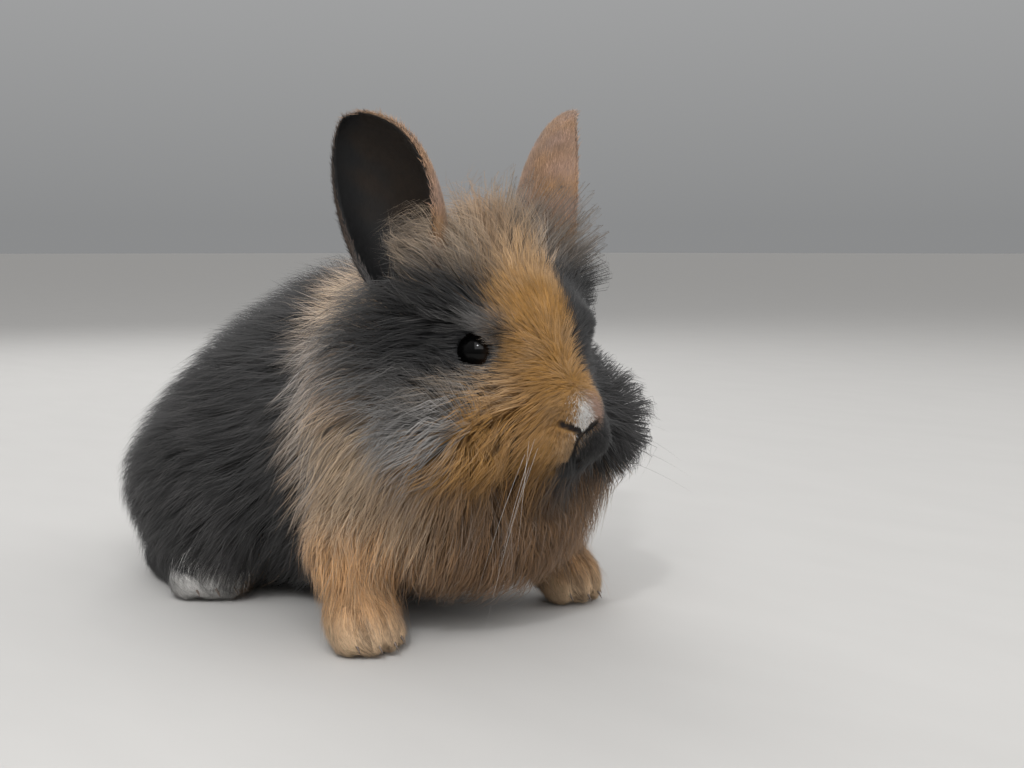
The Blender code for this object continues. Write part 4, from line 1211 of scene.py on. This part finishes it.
def eyeball(side, tag):
    """A ball whose front bulges a little."""
    axis = EYE_AXIS[side]
    aside = unit(np.cross(axis, (0, 0, 1.0)))
    up = np.cross(aside, axis)
    points, faces = [], []
    rings, around = 28, 48
    for i in range(1, rings):
        angle = math.pi * i / rings
        reach = EYE_RADIUS * (1 + 0.045 * math.exp(-((angle / 0.75) ** 2)))
        for j in range(around):
            turn = 2 * math.pi * j / around
            flat = aside * math.cos(turn) + up * math.sin(turn)
            points.append(EYE_AT[side] + reach * (axis * math.cos(angle) + flat * math.sin(angle)))
    front, back = len(points), len(points) + 1
    points += [EYE_AT[side] + axis * EYE_RADIUS * 1.045, EYE_AT[side] - axis * EYE_RADIUS]
    for j in range(around):
        k = (j + 1) % around
        faces.append((front, j, k))
        faces.append((back, (rings - 2) * around + k, (rings - 2) * around + j))
        for i in range(rings - 2):
            faces.append((i * around + j, (i + 1) * around + j, (i + 1) * around + k, i * around + k))
    thing = piece("eye_" + tag + "_ball", points, faces)
    face_outwards(thing)
    depth = (np.array(points) - EYE_AT[side]) @ axis / EYE_RADIUS
    value = thing.data.attributes.new("front", "FLOAT", "POINT")
    value.data.foreach_set("value", depth.astype(np.float32))
    return thing


balls = {side: eyeball(side, tag) for side, tag in ((1, "left"), (-1, "right"))}
print("eyes are", 2 * EYE_RADIUS, "mm across")

# %% [markdown]
# ## Claws
#
# Claws are short, curved cones of horn that show only as small points between the hairs of the toes. Rings
# that shrink along a bent line are enough for them, and both feet of a pair share one mesh.

# %% Claws on every toe


def claws(toes, long, tag):
    """Curved cones from inside each toe's tip, forwards and down, for both feet of a pair."""
    points, faces = [], []
    rings, around = 7, 10
    for side in (1, -1):
        for x, y, z in toes:
            start = np.array((side * x, y - long * 0.66, z - 0.6))
            faces += tube_faces(rings, around, len(points))
            for s in np.linspace(0, 1, rings):
                middle = start + np.array((0.0, -0.52 * long * s, -0.4 * s - 2.4 * s * s))
                size = 0.85 * (1 - s) ** 0.7 + 0.03
                for turn in 2 * math.pi * np.arange(around) / around:
                    points.append(middle + size * np.array((math.cos(turn) * 0.8, 0.0, math.sin(turn))))
    thing = piece("claws_" + tag, points, faces)
    face_outwards(thing)
    return thing


claw_pieces = [claws(HIND_TOES, HIND_TOE_LONG, "hind"), claws(FORE_TOES, FORE_TOE_LONG, "fore")]
print("claws:", 2 * (len(HIND_TOES) + len(FORE_TOES)))

# %% [markdown]
# ## Whiskers
#
# Whiskers are long single hairs that follow a path, so Geometry Nodes make them: a plain mesh of edges
# holds their lines, and the tree gives each line a tapered round section. Its inputs name the thickness,
# and it ends in Realize Instances and Set Material, so that plain mesh is left.

# %% Lines of the whiskers
WHISKER_ROOTS = ((7.5, -22.5, -19.0), (8.5, -21.0, -21.5), (9.0, -19.5, -24.0), (9.5, -19.0, -20.0),
                 (8.8, -18.5, -26.0))
WHISKER_REACH = (31, 36, 41, 28, 38)
WHISKER_POINTS = 10
WHISKER_RADIUS = 0.00004  # in metres, at the root
HANGS = {
    "left": ((0.9, 1.3), (-0.25, 0.2), (-0.35, 0.15)),
    "right": ((0.1, 0.55), (-0.4, 0.15), (-1.0, -0.7)),
}


def whisker_lines(side, tag):
    """Points and edges of one side's whiskers: out or down from the lip, bent by their own weight."""
    rng = np.random.default_rng(70 + side)
    points, edges = [], []
    for (x, y, z), reach in zip(WHISKER_ROOTS, WHISKER_REACH):
        reach = reach * rng.uniform(0.85, 1.15)
        way = HEAD_TURN @ (unit(np.array([rng.uniform(*span) for span in HANGS[tag]])) * (side, 1, 1))
        start = to_surface(skin, from_head([(side * x, y, z)]))[0]
        for i in range(WHISKER_POINTS):
            s = i / (WHISKER_POINTS - 1)
            here = start + way * reach * s + np.array((0, 0, -1.0)) * reach * 0.2 * s * s
            points.append(np.maximum(here, (-999, -999, 1.0)))
            if i:
                edges.append((len(points) - 2, len(points) - 1))
    return np.array(points), edges


def whisker_piece(side, tag):
    """The lines of one side as edges, with their thickness as a share of that at the root."""
    points, edges = whisker_lines(side, tag)
    thing = piece("whiskers_" + tag, points, [], edges)
    thin_end = thing.data.attributes.new("thick", "FLOAT", "POINT")
    taper = 1 - np.linspace(0, 1, WHISKER_POINTS) ** 1.5 * 0.9
    thin_end.data.foreach_set("value", np.tile(taper, len(WHISKER_ROOTS)))
    return thing


whiskers = {tag: whisker_piece(side, tag) for side, tag in ((1, "left"), (-1, "right"))}
print("whiskers:", 2 * len(WHISKER_ROOTS))

# %% [markdown]
# ## Materials
#
# Hair, skin and horn are never one flat colour, not even within a hair. One shader group holds what they
# share: noise drawn out along one axis, which darkens a colour in fine streaks and gives a height for a
# little relief. Each material sets its own scale and strength, and takes its colour from the mesh or from a
# value of its own.

# %% A shader group for the fine streaks of hair


def new_material(name, roughness, specular=0.5):
    """A material, its nodes, its links and its shader."""
    material = bpy.data.materials.new(name)
    material.use_nodes = True
    nodes = material.node_tree.nodes
    surface = nodes["Principled BSDF"]
    surface.inputs["Roughness"].default_value = roughness
    surface.inputs["Specular IOR Level"].default_value = specular
    return material, nodes, material.node_tree.links, surface


def node_tree(name, kind, inputs, outputs):
    """A node tree with named sockets: its nodes, its links and the two nodes that hold the sockets."""
    tree = bpy.data.node_groups.new(name, kind)
    for way, sockets in (("INPUT", inputs), ("OUTPUT", outputs)):
        for label, sort in sockets.items():
            tree.interface.new_socket(label, in_out=way, socket_type="NodeSocket" + sort)
    nodes = tree.nodes
    return tree, nodes, tree.links, nodes.new("NodeGroupInput"), nodes.new("NodeGroupOutput")


def wire(links, *pairs):
    """Joins each output to its input."""
    for start, end in pairs:
        links.new(start, end)


def streaks_group():
    """Noise drawn out along one axis: varies a colour and gives a height."""
    group, nodes, links, given, result = node_tree(
        "fine_streaks", "ShaderNodeTree", {"Colour": "Color", "Scale": "Float", "Strength": "Float"},
        {"Colour": "Color", "Height": "Float"})
    place, stretch = nodes.new("ShaderNodeTexCoord"), nodes.new("ShaderNodeMapping")
    stretch.inputs["Scale"].default_value = (1.0, 0.35, 0.6)
    noise = nodes.new("ShaderNodeTexNoise")
    noise.inputs["Detail"].default_value = 4.0
    span = nodes.new("ShaderNodeMapRange")
    span.inputs["From Min"].default_value = 0.3
    span.inputs["From Max"].default_value = 0.7
    dark = nodes.new("ShaderNodeMath")
    dark.operation = "SUBTRACT"
    dark.inputs[0].default_value = 1.0
    mix = nodes.new("ShaderNodeMix")
    mix.data_type = "RGBA"
    mix.blend_type = "MULTIPLY"
    mix.inputs[0].default_value = 1.0
    wire(links,
         (place.outputs["Object"], stretch.inputs["Vector"]),
         (stretch.outputs["Vector"], noise.inputs["Vector"]),
         (given.outputs["Scale"], noise.inputs["Scale"]),
         (noise.outputs["Fac"], span.inputs["Value"]),
         (given.outputs["Strength"], dark.inputs[1]),
         (dark.outputs[0], span.inputs["To Min"]),
         (given.outputs["Colour"], mix.inputs[6]),
         (span.outputs["Result"], mix.inputs[7]),
         (mix.outputs[2], result.inputs["Colour"]),
         (span.outputs["Result"], result.inputs["Height"]))
    return group


streaks = streaks_group()


def add_streaks(nodes, scale, strength):
    """The shared streaks in a material, with values of its own."""
    node = nodes.new("ShaderNodeGroup")
    node.node_tree = streaks
    node.inputs["Scale"].default_value = scale
    node.inputs["Strength"].default_value = strength
    return node


def tinted(name, roughness, scale, strength, bump, sheen=0.0):
    """A material that takes its colour from the coat's own attribute, with fine streaks on it."""
    material, nodes, links, surface = new_material(name, roughness, 0.35)
    surface.inputs["Sheen Weight"].default_value = sheen
    tint = nodes.new("ShaderNodeAttribute")
    tint.attribute_name = "coat"
    fine = add_streaks(nodes, scale, strength)
    links.new(tint.outputs["Color"], fine.inputs["Colour"])
    links.new(fine.outputs["Colour"], surface.inputs["Base Color"])
    if bump:
        relief = nodes.new("ShaderNodeBump")
        relief.inputs["Strength"].default_value = 0.5
        relief.inputs["Distance"].default_value = bump * MM
        links.new(fine.outputs["Height"], relief.inputs["Height"])
        links.new(relief.outputs["Normal"], surface.inputs["Normal"])
    return material


fur = tinted("soft_fur", 0.75, 260.0, 0.2, 0.0, 0.1)
hide = tinted("skin_under_fur", 0.75, 900.0, 0.45, 0.35)
gristle = tinted("ear_gristle", 0.6, 700.0, 0.35, 0.2)
print("materials:", fur.name, hide.name, gristle.name)

# %% Eye, horn and whisker materials


def eye_material():
    """Brown iris round a wide black pupil, wet all over."""
    material, nodes, links, surface = new_material("wet_eye", 0.08, 0.03)
    surface.inputs["Coat Weight"].default_value = 0.2
    surface.inputs["Coat Roughness"].default_value = 0.02
    front = nodes.new("ShaderNodeAttribute")
    front.attribute_name = "front"
    bands = nodes.new("ShaderNodeValToRGB")
    ramp_points = bands.color_ramp.elements
    ramp_points[0].position, ramp_points[0].color = 0.35, (0.004, 0.003, 0.002, 1)
    ramp_points[1].position, ramp_points[1].color = 0.62, (0.012, 0.006, 0.003, 1)
    edge = ramp_points.new(0.74)
    edge.color = (0.005, 0.003, 0.002, 1)
    pupil = ramp_points.new(0.84)
    pupil.color = (0.001, 0.001, 0.001, 1)
    fine = add_streaks(nodes, 2500.0, 0.5)
    links.new(front.outputs["Fac"], bands.inputs["Fac"])
    links.new(bands.outputs["Color"], fine.inputs["Colour"])
    links.new(fine.outputs["Colour"], surface.inputs["Base Color"])
    return material


def plain_grained(name, colour, roughness, scale, strength):
    """A material of one colour with fine streaks in it."""
    material, nodes, links, surface = new_material(name, roughness)
    fine = add_streaks(nodes, scale, strength)
    fine.inputs["Colour"].default_value = (*colour, 1)
    links.new(fine.outputs["Colour"], surface.inputs["Base Color"])
    return material


wet_eye = eye_material()
horn = plain_grained("claw_horn", (0.13, 0.09, 0.065), 0.35, 1500.0, 0.4)
whisker_hairs = {"right": plain_grained("pale_whisker", (0.66, 0.64, 0.61), 0.4, 300.0, 0.2),
                 "left": plain_grained("dark_whisker", (0.03, 0.028, 0.026), 0.4, 300.0, 0.2)}
print("eye, horn and whisker done")

# %% [markdown]
# ## Thickness of the whiskers
#
# A whisker is a stiff hair that tapers evenly to its tip. The tree turns each line of edges into a curve,
# gives it a radius from the taper kept on its points, and sweeps a small ring along it. Modelling ten tubes
# by hand would give no more, and here one input makes them all thicker or thinner.

# %% Geometry Nodes for the whiskers


def whisker_tree():
    """The tree, and the identifiers of its inputs by their names."""
    tree, nodes, links, given, result = node_tree(
        "whiskers_from_lines", "GeometryNodeTree",
        {"Lines": "Geometry", "Thickness": "Float", "Material": "Material"}, {"Whiskers": "Geometry"})
    curve, radius = nodes.new("GeometryNodeMeshToCurve"), nodes.new("GeometryNodeSetCurveRadius")
    thick = nodes.new("GeometryNodeInputNamedAttribute")
    thick.data_type = "FLOAT"
    thick.inputs["Name"].default_value = "thick"
    times = nodes.new("ShaderNodeMath")
    times.operation = "MULTIPLY"
    ring = nodes.new("GeometryNodeCurvePrimitiveCircle")
    ring.inputs["Resolution"].default_value = 5
    ring.inputs["Radius"].default_value = 1.0
    tube = nodes.new("GeometryNodeCurveToMesh")
    tube.inputs["Fill Caps"].default_value = True
    real, finish = nodes.new("GeometryNodeRealizeInstances"), nodes.new("GeometryNodeSetMaterial")
    wire(links,
         (given.outputs["Lines"], curve.inputs["Mesh"]),
         (curve.outputs["Curve"], radius.inputs["Curve"]),
         (thick.outputs["Attribute"], times.inputs[0]),
         (given.outputs["Thickness"], times.inputs[1]),
         (times.outputs[0], radius.inputs["Radius"]),
         (radius.outputs["Curve"], tube.inputs["Curve"]),
         (ring.outputs["Curve"], tube.inputs["Profile Curve"]),
         (tube.outputs["Mesh"], real.inputs["Geometry"]),
         (real.outputs["Geometry"], finish.inputs["Geometry"]),
         (given.outputs["Material"], finish.inputs["Material"]),
         (finish.outputs["Geometry"], result.inputs["Whiskers"]))
    if "Scale" in tube.inputs:
        links.new(times.outputs[0], tube.inputs["Scale"])
    return tree, {item.name: item.identifier for item in tree.interface.items_tree if item.in_out == "INPUT"}


tree, sockets = whisker_tree()
for tag, thing in whiskers.items():
    modifier = thing.modifiers.new("thickness", "NODES")
    modifier.node_group = tree
    modifier[sockets["Thickness"]] = WHISKER_RADIUS
    modifier[sockets["Material"]] = whisker_hairs[tag]
    applied(thing)
    face_outwards(thing)
    print("whisker mesh", tag, len(thing.data.polygons), "faces")

# %% [markdown]
# ## Colours on the skin
#
# The skin shows only where the coat parts: at the rims of the eyes, on the nose and between the toes. It
# takes the markings of the coat above it, darker by painted shade, so that a gap in the coat reads as shade
# and not as a hole. Painted shade also darkens it between the toes and in the grooves of the mouth and nose.

# %% Put the materials on, colour the skins


def wear(thing, material):
    thing.data.materials.clear()
    thing.data.materials.append(material)


points = points_of(skin_piece.data)
# The coat's colours, darkened by a quarter as painted shade under the coat.
tone = coat_colour(to_surface(body, points, steps=2)) * 0.75
rim = np.zeros(len(points))
for side in (1, -1):
    near = np.linalg.norm(points - EYE_AT[side], axis=1) < 9.0
    rim = np.maximum(rim, near * (1 - ramp(lid_angle(points, side), 4, 10)))
nose = 1 - ramp(np.linalg.norm(points - from_head((0, -28, -17)), axis=1), 6, 10)
tone = tone * (1 + 0.55 * nose)[:, None]
tone = over(tone, BLACK * 1.5, rim)
seated = to_surface(bare_skin, points, steps=3)
# Painted shade between the toes.
tone = tone * (1 - 0.75 * toe_gaps(seated))[:, None]
# Near black in the lines of the mouth, the slit and the nostrils: painted shade in these grooves.
tone = over(tone, np.array((0.012, 0.008, 0.008)), np.clip(face_lines(seated) * 1.8 - 0.3, 0, 1))
colour_points(skin_piece.data, tone)
wear(skin_piece, hide)
for side, thing in ears.items():
    points = points_of(thing.data)
    inside = np.tile(np.repeat((0.0, 1.0), EAR_ACROSS + 1), EAR_RINGS)
    colour_points(thing.data, ear_colour(points, side, inside) * 0.7)
    wear(thing, gristle)
for thing in (*long_coat, *middle_coat, *plush, *ear_coats.values()):
    wear(thing, fur)
for thing in balls.values():
    wear(thing, wet_eye)
for thing in claw_pieces:
    wear(thing, horn)
print("pieces:", len(pieces))

# %% [markdown]
# ## Light and floor
#
# A museum shows such a model on a plain pale floor under broad, soft light. A large lamp stands above the
# camera, a weaker one at the rabbit's left, and one behind it, which edges the tips of the coat. A fourth
# lamp is small and bright, because a broad light alone leaves no spark in a wet eye. A pale sky lifts the
# shadows.

# %% Floor and lamps


LAMPS = (  # name, place, size in metres, power in watts
    ("key", (-0.75, -0.85, 1.1), 1.1, 13.5),
    ("sparkle", (-0.74, -0.64, 0.92), 0.07, 4.2),
    ("fill", (1.0, -0.8, 0.7), 1.2, 5.0),
    ("rim", (0.3, 0.9, 0.9), 0.9, 6.0),
)
LIT = Vector((0.0, 0.0, 0.06))  # what the lamps point at


def lamp(name, at, size, power):
    data = bpy.data.lights.new(name, "AREA")
    data.shape = "SQUARE"
    data.size = size
    data.energy = power
    thing = bpy.data.objects.new(name, data)
    thing.location = at
    thing.rotation_mode = "QUATERNION"
    thing.rotation_quaternion = (LIT - Vector(at)).to_track_quat("-Z", "Y")
    bpy.context.scene.collection.objects.link(thing)


floor = bpy.data.meshes.new("floor")
floor.from_pydata([(-40, -40, 0), (40, -40, 0), (40, 40, 0), (-40, 40, 0)], [], [(0, 1, 2, 3)])
floor_piece = bpy.data.objects.new("floor", floor)
bpy.context.scene.collection.objects.link(floor_piece)
wear(floor_piece, plain_grained("pale_floor", (0.50, 0.49, 0.475), 0.8, 40.0, 0.03))
for settings in LAMPS:
    lamp(*settings)
world = bpy.data.worlds.new("studio")
world.use_nodes = True
sky = world.node_tree.nodes
height, tones = sky.new("ShaderNodeSeparateXYZ"), sky.new("ShaderNodeValToRGB")
tones.color_ramp.elements[0].color = (0.40, 0.405, 0.41, 1)
tones.color_ramp.elements[0].position = 0.02
tones.color_ramp.elements[1].color = (1.0, 1.0, 1.0, 1)
tones.color_ramp.elements[1].position = 0.7
sky_links = world.node_tree.links
sky_links.new(sky.new("ShaderNodeTexCoord").outputs["Generated"], height.inputs[0])
sky_links.new(height.outputs["Z"], tones.inputs["Fac"])
sky_links.new(tones.outputs["Color"], sky["Background"].inputs["Color"])
sky["Background"].inputs["Strength"].default_value = 0.64
bpy.context.scene.world = world
bpy.context.scene.view_settings.view_transform = "Standard"
print("lamps:", len(LAMPS))

# %% [markdown]
# ## Into the frame
#
# The solids that the pieces take the place of are hidden, and every piece rides on the one body of the part.

# %% Ride and replace
FLESH = ["head", "neck", "torso", "tail", "haunch_left", "haunch_right", "hind_foot_left", "hind_foot_right",
         "fore_leg_left", "fore_leg_right"]
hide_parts(*FLESH)
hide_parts("ear_left")
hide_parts("ear_right")
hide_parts("eye_left")
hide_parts("eye_right")
for thing in pieces:
    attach(thing, "root")
